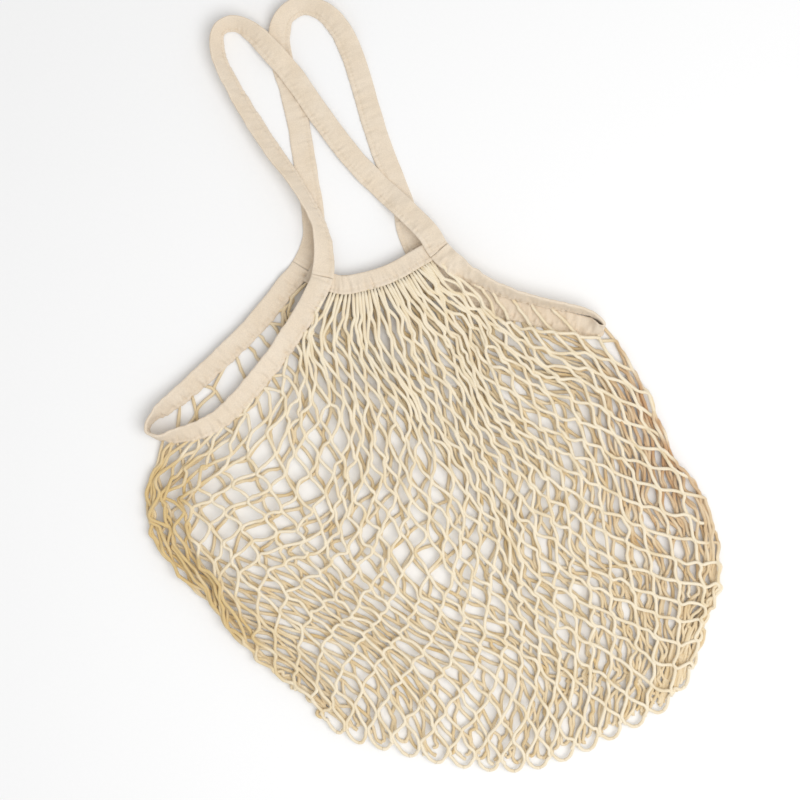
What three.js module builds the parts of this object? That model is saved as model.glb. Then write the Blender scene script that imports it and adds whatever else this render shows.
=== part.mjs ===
// A cotton net shopping bag, empty and lying flat on its back.
// Units are millimetres. +X runs across the mouth, +Y runs from the bag to its handles, +Z is up.
import * as THREE from 'three';

// Sizes of the bag as it lies
const BAG_WIDTH = 488;
const BAG_DEPTH = 450;
const HANDLE_DROP = 245;
const BAG_HEIGHT = 17;

// Tape of the bindings and handles
const TAPE_WIDTH = 20;
const HANDLE_THICKNESS = 2.2;
const BINDING_THICKNESS = 3;
const BAND_WIDTH = 17;
const BAND_THICKNESS = 3;
const MOUTH_OPENING = 5.4;
const TAPE_BEVEL = 0.9;
const TAPE_STEP = 8;

// Net: its gaps are diamonds, so each one spans two columns and two rows
const NET_THICKNESS = 3;
const GAPS_ACROSS = 6;
const GAPS_DOWN = 5;
const SLIT_SHARE = 0.4;
const GAP_SHARE = 0.66;
const FOLD_WIDTH = 9;
const GATHER_RISE = 1.6;
// Share of a mouth band's length that each end runs on past the net
const BAND_END = 0.06;
// Where the middle of a slit's half gap lies, in columns from the edge
const HALF_GAP_CENTRE = 0.42;
// Rows above the slits' tips where the net's edges leave the tape
const TIP_ROWS = 0.5;

// Clearances
const CLEARANCE = 0.3;
const NET_CLEARANCE = 1;

// Heights of the stack at the mouth, from the floor up
const BACK_BAND_BASE = BINDING_THICKNESS + CLEARANCE;
const FRONT_BAND_BASE = BACK_BAND_BASE + BAND_THICKNESS + MOUTH_OPENING;
const FRONT_TAPE_BASE = FRONT_BAND_BASE + BAND_THICKNESS + CLEARANCE;
const STRAP_LAYER = HANDLE_THICKNESS + CLEARANCE;
const NET_LAYER = NET_THICKNESS + CLEARANCE;
const FRONT_NET_LOWEST = NET_LAYER + 0.8 * NET_THICKNESS;

const COLUMNS = 2 * GAPS_ACROSS;
const ROWS = 2 * GAPS_DOWN;
const SLIT_ROW = 2 * Math.round(SLIT_SHARE * GAPS_DOWN);

// Finish
const COTTON = { roughness: 0.92, metalness: 0 };
const NET_COLOUR = '#e6d6b8';
const TAPE_COLOUR = '#e9dfcd';

// The bindings and handles are one ring of tape, cut at four roots. The four tables below follow it
// from the front left root: up and over the front handle, round the right slit, over the back handle
// and round the left slit. across is a share of BAG_WIDTH. along is a share of HANDLE_DROP in the
// handles and of BAG_DEPTH in the bindings. roll is the tilt in degrees, and base the height of the
// lowest edge in millimetres. The bindings' first and last rows are the roots.
const FRONT_HANDLE_ROUTE = [
  { across: -0.074, along: 0.120, roll: 8, base: FRONT_TAPE_BASE - 1 },
  { across: -0.074, along: 0.215, roll: 8, base: 6 },
  { across: -0.084, along: 0.295, roll: 4, base: STRAP_LAYER + 0.6 },
  { across: -0.099, along: 0.385, roll: 0, base: STRAP_LAYER },
  { across: -0.124, along: 0.500, roll: 0, base: STRAP_LAYER },
  { across: -0.150, along: 0.640, roll: 8, base: 0.2 },
  { across: -0.172, along: 0.780, roll: 24, base: 0.2 },
  { across: -0.184, along: 0.900, roll: 48, base: 0.2 },
  { across: -0.172, along: 0.985, roll: 62, base: 0.2 },
  { across: -0.142, along: 0.995, roll: 56, base: 0.4 },
  { across: -0.112, along: 0.945, roll: 36, base: 3 },
  { across: -0.090, along: 0.875, roll: 16, base: 5.5 },
  { across: -0.062, along: 0.775, roll: 2, base: STRAP_LAYER + 0.4 },
  { across: -0.024, along: 0.590, roll: 0, base: STRAP_LAYER },
  { across: 0.016, along: 0.415, roll: 0, base: STRAP_LAYER },
  { across: 0.054, along: 0.290, roll: 0, base: STRAP_LAYER },
  { across: 0.091, along: 0.178, roll: 0, base: FRONT_TAPE_BASE - 5 },
  { across: 0.120, along: 0.080, roll: 2, base: FRONT_TAPE_BASE },
];

const RIGHT_BINDING_ROUTE = [
  { across: 0.132, along: 0.006, roll: 4, base: FRONT_TAPE_BASE },
  { across: 0.152, along: -0.026, roll: 18, base: FRONT_TAPE_BASE - 1.5 },
  { across: 0.178, along: -0.056, roll: 38, base: 7 },
  { across: 0.214, along: -0.088, roll: 54, base: 4.5 },
  { across: 0.260, along: -0.120, roll: 60, base: 4 },
  { across: 0.306, along: -0.145, roll: 62, base: 3.6 },
  { across: 0.350, along: -0.167, roll: 68, base: 3 },
  { across: 0.383, along: -0.189, roll: 80, base: 1.6 },
  { across: 0.397, along: -0.212, roll: 92, base: 0.4 },
  { across: 0.386, along: -0.229, roll: 124, base: 0.2 },
  { across: 0.352, along: -0.222, roll: 172, base: 0 },
  { across: 0.308, along: -0.197, roll: 180, base: 0 },
  { across: 0.262, along: -0.170, roll: 180, base: 0 },
  { across: 0.216, along: -0.140, roll: 180, base: 0 },
  { across: 0.174, along: -0.103, roll: 180, base: 0 },
  { across: 0.140, along: -0.062, roll: 180, base: 0 },
  { across: 0.112, along: -0.020, roll: 180, base: 0 },
  { across: 0.091, along: 0.022, roll: 180, base: 0 },
];

const BACK_HANDLE_ROUTE = [
  { across: 0.085, along: 0.120, roll: 180, base: 0 },
  { across: 0.087, along: 0.205, roll: 180, base: 0 },
  { across: 0.080, along: 0.310, roll: 180, base: 0 },
  { across: 0.071, along: 0.430, roll: 180, base: 0 },
  { across: 0.065, along: 0.570, roll: 180, base: 0 },
  { across: 0.062, along: 0.690, roll: 180, base: 0 },
  { across: 0.056, along: 0.810, roll: 176, base: 0 },
  { across: 0.044, along: 0.900, roll: 160, base: 0.2 },
  { across: 0.022, along: 0.968, roll: 140, base: 0.2 },
  { across: -0.012, along: 1.003, roll: 132, base: 0.2 },
  { across: -0.046, along: 0.985, roll: 140, base: 0.2 },
  { across: -0.066, along: 0.925, roll: 164, base: 0.2 },
  { across: -0.072, along: 0.830, roll: 180, base: 0 },
  { across: -0.069, along: 0.720, roll: 180, base: 0 },
  { across: -0.068, along: 0.610, roll: 180, base: 0 },
  { across: -0.072, along: 0.485, roll: 180, base: 0 },
  { across: -0.076, along: 0.355, roll: 180, base: 0 },
  { across: -0.080, along: 0.250, roll: 180, base: 0 },
  { across: -0.092, along: 0.150, roll: 180, base: 0 },
];

const LEFT_BINDING_ROUTE = [
  { across: -0.122, along: 0.038, roll: 180, base: 0 },
  { across: -0.158, along: 0.007, roll: 180, base: 0 },
  { across: -0.200, along: -0.030, roll: 180, base: 0 },
  { across: -0.246, along: -0.066, roll: 180, base: 0 },
  { across: -0.296, along: -0.099, roll: 178, base: 0 },
  { across: -0.345, along: -0.130, roll: 172, base: 0.2 },
  { across: -0.392, along: -0.158, roll: 158, base: 0.2 },
  { across: -0.430, along: -0.178, roll: 128, base: 0.2 },
  { across: -0.456, along: -0.194, roll: 100, base: 0.2 },
  { across: -0.467, along: -0.214, roll: 90, base: 0.4 },
  { across: -0.450, along: -0.231, roll: 82, base: 2 },
  { across: -0.418, along: -0.236, roll: 52, base: NET_LAYER + 0.4 },
  { across: -0.374, along: -0.235, roll: 22, base: NET_LAYER + 0.4 },
  { across: -0.330, along: -0.222, roll: 14, base: NET_LAYER + 0.4 },
  { across: -0.286, along: -0.194, roll: 11, base: 4.4 },
  { across: -0.245, along: -0.161, roll: 10, base: 5.5 },
  { across: -0.207, along: -0.129, roll: 9, base: 7 },
  { across: -0.172, along: -0.094, roll: 9, base: FRONT_TAPE_BASE - 5.5 },
  { across: -0.140, along: -0.061, roll: 8, base: FRONT_TAPE_BASE - 3 },
  { across: -0.112, along: -0.028, roll: 6, base: FRONT_TAPE_BASE - 0.2 },
  { across: -0.088, along: 0.008, roll: 4, base: FRONT_TAPE_BASE },
];

// The mouth bands' centre lines, from the left, as shares of BAG_WIDTH and BAG_DEPTH
const FRONT_BAND_ROUTE = [
  { across: -0.078, along: -0.006 },
  { across: -0.054, along: -0.018 },
  { across: -0.022, along: -0.020 },
  { across: 0.014, along: -0.019 },
  { across: 0.050, along: -0.012 },
  { across: 0.086, along: 0.000 },
  { across: 0.116, along: 0.010 },
];

const BACK_BAND_ROUTE = [
  { across: -0.114, along: 0.024 },
  { across: -0.088, along: 0.000 },
  { across: -0.052, along: -0.016 },
  { across: -0.012, along: -0.020 },
  { across: 0.028, along: -0.017 },
  { across: 0.062, along: -0.008 },
  { across: 0.092, along: 0.006 },
];

// The net's middle line, a row for each level from the mouth (0) to the bottom (1). across and along
// are shares of BAG_WIDTH and BAG_DEPTH, crown the front wall's height as a share of BAG_HEIGHT.
const NET_MIDDLE = [
  { level: 0.0, across: 0.014, along: -0.040, crown: 0.86 },
  { level: 0.1, across: 0.018, along: -0.142, crown: 0.93 },
  { level: 0.2, across: 0.027, along: -0.246, crown: 0.98 },
  { level: 0.3, across: 0.041, along: -0.350, crown: 1.00 },
  { level: 0.4, across: 0.057, along: -0.453, crown: 1.00 },
  { level: 0.5, across: 0.070, along: -0.556, crown: 0.98 },
  { level: 0.6, across: 0.076, along: -0.656, crown: 0.94 },
  { level: 0.7, across: 0.078, along: -0.756, crown: 0.92 },
  { level: 0.8, across: 0.074, along: -0.856, crown: 0.92 },
  { level: 0.9, across: 0.066, along: -0.950, crown: 0.92 },
  { level: 1.0, across: 0.056, along: -1.036, crown: 0.90 },
];

// The net's closed sides, a row for each level from the slits' tips (0) to the bottom (1). across and
// along are shares of BAG_WIDTH and BAG_DEPTH, rise is the fold's height as a share of BAG_HEIGHT.
const NET_SIDES = {
  left: [
    { level: 0.00, across: -0.447, along: -0.256, rise: 0.14 },
    { level: 0.17, across: -0.489, along: -0.366, rise: 0.40 },
    { level: 0.33, across: -0.466, along: -0.480, rise: 0.50 },
    { level: 0.50, across: -0.418, along: -0.594, rise: 0.50 },
    { level: 0.67, across: -0.362, along: -0.702, rise: 0.50 },
    { level: 0.83, across: -0.298, along: -0.802, rise: 0.50 },
    { level: 1.00, across: -0.228, along: -0.892, rise: 0.45 },
  ],
  right: [
    { level: 0.00, across: 0.377, along: -0.262, rise: 0.44 },
    { level: 0.17, across: 0.448, along: -0.376, rise: 0.50 },
    { level: 0.33, across: 0.480, along: -0.510, rise: 0.50 },
    { level: 0.50, across: 0.503, along: -0.630, rise: 0.50 },
    { level: 0.67, across: 0.508, along: -0.752, rise: 0.50 },
    { level: 0.83, across: 0.478, along: -0.866, rise: 0.50 },
    { level: 1.00, across: 0.414, along: -0.942, rise: 0.45 },
  ],
};

// Soft folds of the front wall: place and spread as shares of the net's breadth and length, rise in
// millimetres
const FRONT_FOLDS = [
  { across: 0.10, down: 0.60, spreadAcross: 0.07, spreadDown: 0.20, rise: 1.8 },
  { across: 0.30, down: 0.48, spreadAcross: 0.16, spreadDown: 0.05, rise: 1.6 },
  { across: 0.34, down: 0.72, spreadAcross: 0.14, spreadDown: 0.13, rise: -2.6 },
  { across: 0.62, down: 0.48, spreadAcross: 0.10, spreadDown: 0.24, rise: 1.2 },
  { across: 0.84, down: 0.62, spreadAcross: 0.06, spreadDown: 0.20, rise: -1.8 },
];

function clamp01(value) {
  return Math.min(1, Math.max(0, value));
}

// Reads a column of a table at a level between its rows
function column(table, level, name) {
  const last = table.length - 1;
  const index = Math.min(last - 1, table.findLastIndex((row) => row.level <= level));
  const from = table[index];
  const to = table[index + 1];
  return THREE.MathUtils.mapLinear(level, from.level, to.level, from[name], to[name]);
}

// Collects the points and triangles of a closed mesh
class SolidBuilder {
  constructor() {
    this.points = [];
    this.triangles = [];
  }

  add(point) {
    this.points.push(point.x, point.y, point.z);
    return this.points.length / 3 - 1;
  }

  triangle(a, b, c) {
    this.triangles.push(a, b, c);
  }

  quad(a, b, c, d) {
    this.triangle(a, b, c);
    this.triangle(a, c, d);
  }

  // Joins two closed rings of equal count
  wall(near, far) {
    near.forEach((point, k) => {
      const next = (k + 1) % near.length;
      this.quad(point, near[next], far[next], far[k]);
    });
  }

  // Closes a ring with a fan
  cap(ring) {
    for (let k = 1; k < ring.length - 1; k += 1) {
      this.triangle(ring[0], ring[k], ring[k + 1]);
    }
  }

  geometry() {
    const geometry = new THREE.BufferGeometry();
    geometry.setAttribute('position', new THREE.Float32BufferAttribute(this.points, 3));
    geometry.setIndex(this.triangles);
    return geometry;
  }
}

// A line of tape through stations { x, y, roll, base }, open or closed
class TapeLine {
  constructor(stations, width, closed) {
    this.stations = stations;
    this.width = width;
    this.closed = closed;
    this.segments = closed ? stations.length : stations.length - 1;
    const points = stations.map(({ x, y }) => new THREE.Vector3(x, y, 0));
    this.curve = new THREE.CatmullRomCurve3(points, closed, 'centripetal');
    const samplesPerSegment = 40;
    this.curve.arcLengthDivisions = samplesPerSegment * this.segments;
    const lengths = this.curve.getLengths();
    this.length = lengths.at(-1);
    this.distances = stations.map((_, k) => lengths[k * samplesPerSegment]);
  }

  // The tape's frame at a distance along it
  at(distance, thickness) {
    const share = this.closed ? THREE.MathUtils.euclideanModulo(distance / this.length, 1)
      : clamp01(distance / this.length);
    const t = this.curve.getUtoTmapping(share);
    const centre = this.curve.getPoint(t);
    const ahead = this.curve.getTangent(t);
    const place = t * this.segments;
    const index = Math.min(this.segments - 1, Math.floor(place));
    const from = this.stations[index];
    const to = this.stations[(index + 1) % this.stations.length];
    const blend = THREE.MathUtils.smoothstep(place - index, 0, 1);
    const roll = THREE.MathUtils.degToRad(THREE.MathUtils.lerp(from.roll, to.roll, blend));
    const base = THREE.MathUtils.lerp(from.base, to.base, blend);
    const left = new THREE.Vector3(-ahead.y, ahead.x, 0).normalize();
    const netward = left.clone().multiplyScalar(-Math.cos(roll));
    netward.z = -Math.sin(roll);
    const face = left.clone().multiplyScalar(-Math.sin(roll));
    face.z = Math.cos(roll);
    centre.z = base + (this.width * Math.abs(netward.z) + thickness * Math.abs(face.z)) / 2;
    return { centre, netward, face };
  }
}

// A length of a tape line between two distances along it
class Tape {
  constructor(line, start, end, thickness) {
    this.line = line;
    this.start = start;
    this.length = end - start;
    this.thickness = thickness;
  }

  at(share) {
    return this.line.at(this.start + share * this.length, this.thickness);
  }

  // Where the net's edge lies, beside the tape's own net edge
  netEdge(share) {
    const { centre, netward } = this.at(share);
    centre.addScaledVector(netward, this.line.width / 2);
    const beside = NET_CLEARANCE + this.thickness / 2 * Math.abs(netward.z);
    const level = new THREE.Vector3(netward.x, netward.y, 0).normalize();
    return centre.addScaledVector(level, beside);
  }

  // The tape as a closed solid with bevelled long edges
  geometry() {
    const halfWidth = this.line.width / 2;
    const halfThickness = this.thickness / 2;
    const section = [
      [halfWidth, 0],
      [halfWidth - TAPE_BEVEL, -halfThickness],
      [TAPE_BEVEL - halfWidth, -halfThickness],
      [-halfWidth, 0],
      [TAPE_BEVEL - halfWidth, halfThickness],
      [halfWidth - TAPE_BEVEL, halfThickness],
    ];
    const steps = Math.ceil(this.length / TAPE_STEP);
    const solid = new SolidBuilder();
    const rings = [];
    for (let k = 0; k <= steps; k += 1) {
      const { centre, netward, face } = this.at(k / steps);
      rings.push(section.map(([w, h]) => solid.add(
        centre.clone().addScaledVector(netward, w).addScaledVector(face, h),
      )));
    }
    for (let k = 0; k < steps; k += 1) {
      solid.wall(rings[k], rings[k + 1]);
    }
    solid.cap(rings[0].toReversed());
    solid.cap(rings[steps]);
    return solid.geometry();
  }
}

// Turns a route's shares into millimetres
function stationsOf(route, reach, fixed = {}) {
  return route.map((row) => ({ ...row, ...fixed, x: row.across * BAG_WIDTH, y: row.along * reach }));
}

// The ring of tape and the four lengths that are cut from it
function layTapeRing() {
  const parts = [
    { name: 'frontHandle', stations: stationsOf(FRONT_HANDLE_ROUTE, HANDLE_DROP) },
    { name: 'rightBinding', stations: stationsOf(RIGHT_BINDING_ROUTE, BAG_DEPTH) },
    { name: 'backHandle', stations: stationsOf(BACK_HANDLE_ROUTE, HANDLE_DROP) },
    { name: 'leftBinding', stations: stationsOf(LEFT_BINDING_ROUTE, BAG_DEPTH) },
  ];
  const line = new TapeLine(parts.flatMap((part) => part.stations), TAPE_WIDTH, true);
  const firsts = parts.map((_, k) => parts.slice(0, k).reduce((sum, part) => sum + part.stations.length, 0));
  const rightStart = line.distances[firsts[1]];
  const rightEnd = line.distances[firsts[2] - 1];
  const leftStart = line.distances[firsts[3]];
  const leftEnd = line.distances.at(-1);
  const cut = CLEARANCE / 2;
  return {
    frontHandle: new Tape(line, leftEnd - line.length + cut, rightStart - cut, HANDLE_THICKNESS),
    rightBinding: new Tape(line, rightStart + cut, rightEnd - cut, BINDING_THICKNESS),
    backHandle: new Tape(line, rightEnd + cut, leftStart - cut, HANDLE_THICKNESS),
    leftBinding: new Tape(line, leftStart + cut, leftEnd - cut, BINDING_THICKNESS),
  };
}

// A mouth band, level at its own height
function layBand(route, base) {
  const line = new TapeLine(stationsOf(route, BAG_DEPTH, { roll: 0, base }), BAND_WIDTH, false);
  return new Tape(line, 0, line.length, BAND_THICKNESS);
}

const ring = layTapeRing();
const frontBand = layBand(FRONT_BAND_ROUTE, FRONT_BAND_BASE);
const backBand = layBand(BACK_BAND_ROUTE, BACK_BAND_BASE);

// Where the net's open edges run on the tape: each leg from the mouth's corner to near the slit's tip,
// as shares of the binding's length. The rest of the way to the tip is straight.
const NET_LEGS = {
  front: {
    band: frontBand,
    left: { tape: ring.leftBinding, mouth: 0.965, tip: 0.60 },
    right: { tape: ring.rightBinding, mouth: 0.012, tip: 0.37 },
  },
  back: {
    band: backBand,
    left: { tape: ring.leftBinding, mouth: 0.030, tip: 0.36 },
    right: { tape: ring.rightBinding, mouth: 0.955, tip: 0.60 },
  },
};

// The net: two walls of diamonds that meet at the bottom and, below the slits, at both sides.
// A place on it is { wall, i, j } with i the column and j the row.
class Net {
  constructor() {
    this.solid = new SolidBuilder();
    this.indices = new Map();
  }

  // The edge of a wall on one side, as a point whose z is the edge's middle height
  edge(wall, side, j) {
    const legEnd = SLIT_ROW - TIP_ROWS;
    if (j > legEnd) {
      const level = clamp01((j - SLIT_ROW) / (ROWS - SLIT_ROW));
      const fold = new THREE.Vector3(
        column(NET_SIDES[side], level, 'across') * BAG_WIDTH,
        column(NET_SIDES[side], level, 'along') * BAG_DEPTH,
        column(NET_SIDES[side], level, 'rise') * BAG_HEIGHT,
      );
      return j >= SLIT_ROW ? fold : this.edge(wall, side, legEnd).lerp(fold, (j - legEnd) / TIP_ROWS);
    }
    const leg = NET_LEGS[wall][side];
    const point = leg.tape.netEdge(THREE.MathUtils.lerp(leg.mouth, leg.tip, j / legEnd));
    const bandHeight = NET_LEGS[wall].band.netEdge(0.5).z;
    const resting = wall === 'front' ? Math.max(FRONT_NET_LOWEST, Math.min(point.z, bandHeight))
      : NET_THICKNESS / 2;
    point.z = THREE.MathUtils.lerp(bandHeight, resting, clamp01(j));
    return point;
  }

  // The plan position between both edges, with the mouth's row on its band
  plan(wall, i, j) {
    const u = i / COLUMNS;
    const level = j / ROWS;
    const between = (left, middle, right) => left.clone().multiplyScalar((1 - u) * (1 - 2 * u))
      .addScaledVector(middle, 4 * u * (1 - u))
      .addScaledVector(right, u * (2 * u - 1));
    const middleAt = (where) => new THREE.Vector3(
      column(NET_MIDDLE, where, 'across') * BAG_WIDTH,
      column(NET_MIDDLE, where, 'along') * BAG_DEPTH,
      0,
    );
    const point = between(this.edge(wall, 'left', j), middleAt(level), this.edge(wall, 'right', j));
    if (j < 1) {
      const straight = between(this.edge(wall, 'left', 0), middleAt(0), this.edge(wall, 'right', 0));
      const onBand = NET_LEGS[wall].band.netEdge(THREE.MathUtils.lerp(BAND_END, 1 - BAND_END, u));
      point.addScaledVector(onBand.sub(straight), 1 - j);
    }
    point.z = 0;
    return point;
  }

  // A point of the outer (layer 0) or inner (layer 1) face
  point({ wall, i, j }, layer) {
    const fromSide = Math.min(1, i, COLUMNS - i);
    const fromBottom = Math.min(1, ROWS - j);
    const openness = clamp01(SLIT_ROW - j);
    const side = i < COLUMNS / 2 ? 'left' : 'right';
    const edgeHeight = this.edge(wall, side, j).z;
    const swell = Math.sin(fromSide * Math.PI / 2) * Math.sin(fromBottom * Math.PI / 2);
    const rim = NET_THICKNESS / 2 * openness * (1 - swell);
    const point = this.plan(wall, i, j);
    if (wall === 'front') {
      const top = column(NET_MIDDLE, j / ROWS, 'crown') * BAG_HEIGHT - layer * NET_THICKNESS;
      point.z = edgeHeight + (top - edgeHeight) * swell + rim * (1 - 2 * layer) + this.relief(i, j) * swell;
    } else {
      const floor = BACK_BAND_BASE * clamp01(1 - j) + layer * NET_THICKNESS;
      point.z = edgeHeight - (edgeHeight - floor) * swell - rim * (1 - 2 * layer);
    }
    if (layer === 1) {
      const inward = this.plan(wall, COLUMNS / 2, j).sub(this.plan(wall, i, j));
      inward.normalize().multiplyScalar(FOLD_WIDTH * (1 - fromSide) * (1 - openness));
      const upward = this.plan(wall, i, ROWS - 1).sub(this.plan(wall, i, ROWS));
      upward.normalize().multiplyScalar(FOLD_WIDTH * (1 - fromBottom));
      point.add(inward).add(upward);
    }
    return point;
  }

  // Gathers below the mouth and the soft folds of the front wall
  relief(i, j) {
    const gathers = GATHER_RISE * Math.cos(i * Math.PI) * Math.sin(Math.PI * Math.min(1, j / SLIT_ROW));
    const folds = FRONT_FOLDS.map(({ across, down, spreadAcross, spreadDown, rise }) => {
      const a = (i / COLUMNS - across) / spreadAcross;
      const b = (j / ROWS - down) / spreadDown;
      return rise * Math.exp(-(a * a + b * b));
    });
    return folds.reduce((sum, rise) => sum + rise, gathers);
  }

  // The mesh index of a place, with the folds' places shared by both walls
  index(place, layer) {
    const onSideFold = (place.i === 0 || place.i === COLUMNS) && place.j >= SLIT_ROW;
    const shared = onSideFold || place.j === ROWS;
    const key = [shared ? 'fold' : place.wall, place.i.toFixed(3), place.j.toFixed(3), layer].join();
    if (!this.indices.has(key)) {
      this.indices.set(key, this.solid.add(this.point(place, layer)));
    }
    return this.indices.get(key);
  }

  // A diamond with a gap in it. The outline runs anticlockwise as seen from outside.
  gap(centre, outline) {
    const towardsCentre = (place) => ({
      wall: place.wall,
      i: THREE.MathUtils.lerp(centre.i, place.i, GAP_SHARE),
      j: THREE.MathUtils.lerp(centre.j, place.j, GAP_SHARE),
    });
    const hole = outline.map(towardsCentre);
    const outer = outline.map((place) => this.index(place, 0));
    const outerHole = hole.map((place) => this.index(place, 0));
    const innerHole = hole.map((place) => this.index(place, 1));
    const inner = outline.map((place) => this.index(place, 1));
    this.solid.wall(outer, outerHole);
    this.solid.wall(outerHole, innerHole);
    this.solid.wall(innerHole, inner);
  }

  // A closed patch as a fan around its first place
  patch(outline) {
    this.solid.cap(outline.map((place) => this.index(place, 0)));
    this.solid.cap(outline.map((place) => this.index(place, 1)).toReversed());
  }

  // The wall's own thickness along an open edge
  rim(places) {
    for (let k = 0; k < places.length - 1; k += 1) {
      const here = places[k];
      const next = places[k + 1];
      this.solid.quad(this.index(next, 0), this.index(here, 0), this.index(here, 1), this.index(next, 1));
    }
  }

  diamondOutline(wall, i, j) {
    return [
      [i - 1, j], [i - 0.5, j + 0.5], [i, j + 1], [i + 0.5, j + 0.5],
      [i + 1, j], [i + 0.5, j - 0.5], [i, j - 1], [i - 0.5, j - 0.5],
    ].map(([a, b]) => ({ wall, i: a, j: b }));
  }

  // Half a diamond at a slit's edge
  slitGap(wall, i, j, inwards) {
    const places = [
      [0, -1], [0, -0.5], [0, 0], [0, 0.5], [0, 1], [0.5, 0.5], [1, 0], [0.5, -0.5],
    ].map(([a, b]) => ({ wall, i: i + inwards * a, j: j + b }));
    const forwards = (wall === 'front') === (inwards > 0);
    const edge = places.slice(0, 5);
    this.gap({ i: i + inwards * HALF_GAP_CENTRE, j }, forwards ? places : places.toReversed());
    this.rim(forwards ? edge : edge.toReversed());
  }

  // Half a diamond at the mouth, closed by the gathered cords
  mouthPatch(wall, i) {
    const places = [
      [0, 0], [-0.5, 0], [-1, 0], [-0.5, 0.5], [0, 1], [0.5, 0.5], [1, 0], [0.5, 0],
    ].map(([a, b]) => ({ wall, i: i + a, j: b }));
    const edge = [1, 0.5, 0, -0.5, -1].map((a) => ({ wall, i: i + a, j: 0 }));
    const forwards = wall === 'front';
    this.patch(forwards ? places : [places[0], ...places.slice(1).toReversed()]);
    this.rim(forwards ? edge : edge.toReversed());
  }

  // A diamond that wraps round the left (i = 0) or right fold
  sideGap(i, j) {
    const inwards = i === 0 ? 1 : -1;
    const places = [
      ['back', 0, -1], ['back', 0.5, -0.5], ['back', 1, 0], ['back', 0.5, 0.5],
      ['front', 0, 1], ['front', 0.5, 0.5], ['front', 1, 0], ['front', 0.5, -0.5],
    ].map(([wall, a, b]) => ({ wall, i: i + inwards * a, j: j + b }));
    this.gap({ i, j }, i === 0 ? places : places.toReversed());
  }

  // A diamond that wraps round the bottom fold
  bottomGap(i) {
    const places = [
      ['back', -1, 0], ['back', -0.5, -0.5], ['back', 0, -1], ['back', 0.5, -0.5],
      ['front', 1, 0], ['front', 0.5, -0.5], ['front', 0, -1], ['front', -0.5, -0.5],
    ].map(([wall, a, b]) => ({ wall, i: i + a, j: ROWS + b }));
    this.gap({ i, j: ROWS }, places);
  }

  geometry() {
    for (const wall of ['front', 'back']) {
      for (let j = 1; j < ROWS; j += 1) {
        for (let i = 1 + (j % 2); i < COLUMNS; i += 2) {
          const outline = this.diamondOutline(wall, i, j);
          this.gap({ i, j }, wall === 'front' ? outline : outline.toReversed());
        }
      }
      for (let i = 1; i < COLUMNS; i += 2) {
        this.mouthPatch(wall, i);
      }
      for (let j = 1; j < SLIT_ROW; j += 2) {
        this.slitGap(wall, 0, j, 1);
        this.slitGap(wall, COLUMNS, j, -1);
      }
    }
    for (let j = SLIT_ROW + 1; j < ROWS; j += 2) {
      this.sideGap(0, j);
      this.sideGap(COLUMNS, j);
    }
    for (let i = 1; i < COLUMNS; i += 2) {
      this.bottomGap(i);
    }
    return this.solid.geometry();
  }
}

function namedMesh(name, geometry, colour) {
  const mesh = new THREE.Mesh(geometry, new THREE.MeshStandardMaterial({ ...COTTON, color: colour }));
  mesh.name = name;
  return mesh;
}

const bag = new THREE.Group();
bag.add(
  namedMesh('net_bag', new Net().geometry(), NET_COLOUR),
  namedMesh('front_mouth_binding', frontBand.geometry(), TAPE_COLOUR),
  namedMesh('back_mouth_binding', backBand.geometry(), TAPE_COLOUR),
  namedMesh('left_side_binding', ring.leftBinding.geometry(), TAPE_COLOUR),
  namedMesh('right_side_binding', ring.rightBinding.geometry(), TAPE_COLOUR),
  namedMesh('front_handle', ring.frontHandle.geometry(), TAPE_COLOUR),
  namedMesh('back_handle', ring.backHandle.geometry(), TAPE_COLOUR),
);

// The part's origin is the middle of its underside
const bounds = new THREE.Box3().setFromObject(bag);
const middle = bounds.getCenter(new THREE.Vector3());
bag.position.set(-middle.x, -middle.y, -bounds.min.z);

export default bag;
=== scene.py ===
import math

import bpy
import numpy as np
from bpy.props import FloatProperty, FloatVectorProperty, IntProperty, PointerProperty
from mathutils import Euler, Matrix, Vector


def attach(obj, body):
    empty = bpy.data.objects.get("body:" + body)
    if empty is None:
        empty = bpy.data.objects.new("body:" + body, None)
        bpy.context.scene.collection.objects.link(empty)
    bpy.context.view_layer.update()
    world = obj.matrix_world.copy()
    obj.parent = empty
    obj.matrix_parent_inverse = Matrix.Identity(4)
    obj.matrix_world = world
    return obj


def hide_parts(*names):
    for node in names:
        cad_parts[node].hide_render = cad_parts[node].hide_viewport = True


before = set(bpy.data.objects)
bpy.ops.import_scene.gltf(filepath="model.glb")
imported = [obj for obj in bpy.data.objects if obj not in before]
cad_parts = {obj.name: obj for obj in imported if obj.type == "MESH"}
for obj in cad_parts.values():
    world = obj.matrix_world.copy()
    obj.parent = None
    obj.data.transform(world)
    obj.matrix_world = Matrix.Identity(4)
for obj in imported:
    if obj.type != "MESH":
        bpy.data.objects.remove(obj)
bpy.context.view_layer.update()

bl_info = {
    "name": "String Shopping Bag",
    "version": (1, 0, 0),
    "blender": (4, 5, 0),
    "location": "View3D > Sidebar > String Bag",
    "description": "Cotton net bag with tape bindings and handles, laid flat on a plain floor",
    "category": "Add Mesh",
}

MM = 0.001

# The photograph's view: straight down, turned a little. Its middle is a point of the bag's frame.
VIEW_MIDDLE = (-8.3 * MM, -13.05 * MM)
VIEW_TURN = math.radians(-12.95)

# The mouth's middle, from which the tape tables below count, in the bag's frame
MOUTH_MIDDLE = (-8.35 * MM, 106.95 * MM)
BAG_WIDTH = 488 * MM
BAG_DEPTH = 450 * MM
HANDLE_DROP = 245 * MM

# Heights of the stack of layers at the mouth, in millimetres
BACK_BAND_BASE = 3.3
FRONT_BAND_BASE = 11.7
FRONT_TAPE_BASE = 15.0
STRAP_LAYER = 2.5
NET_LAYER = 3.3

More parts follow.
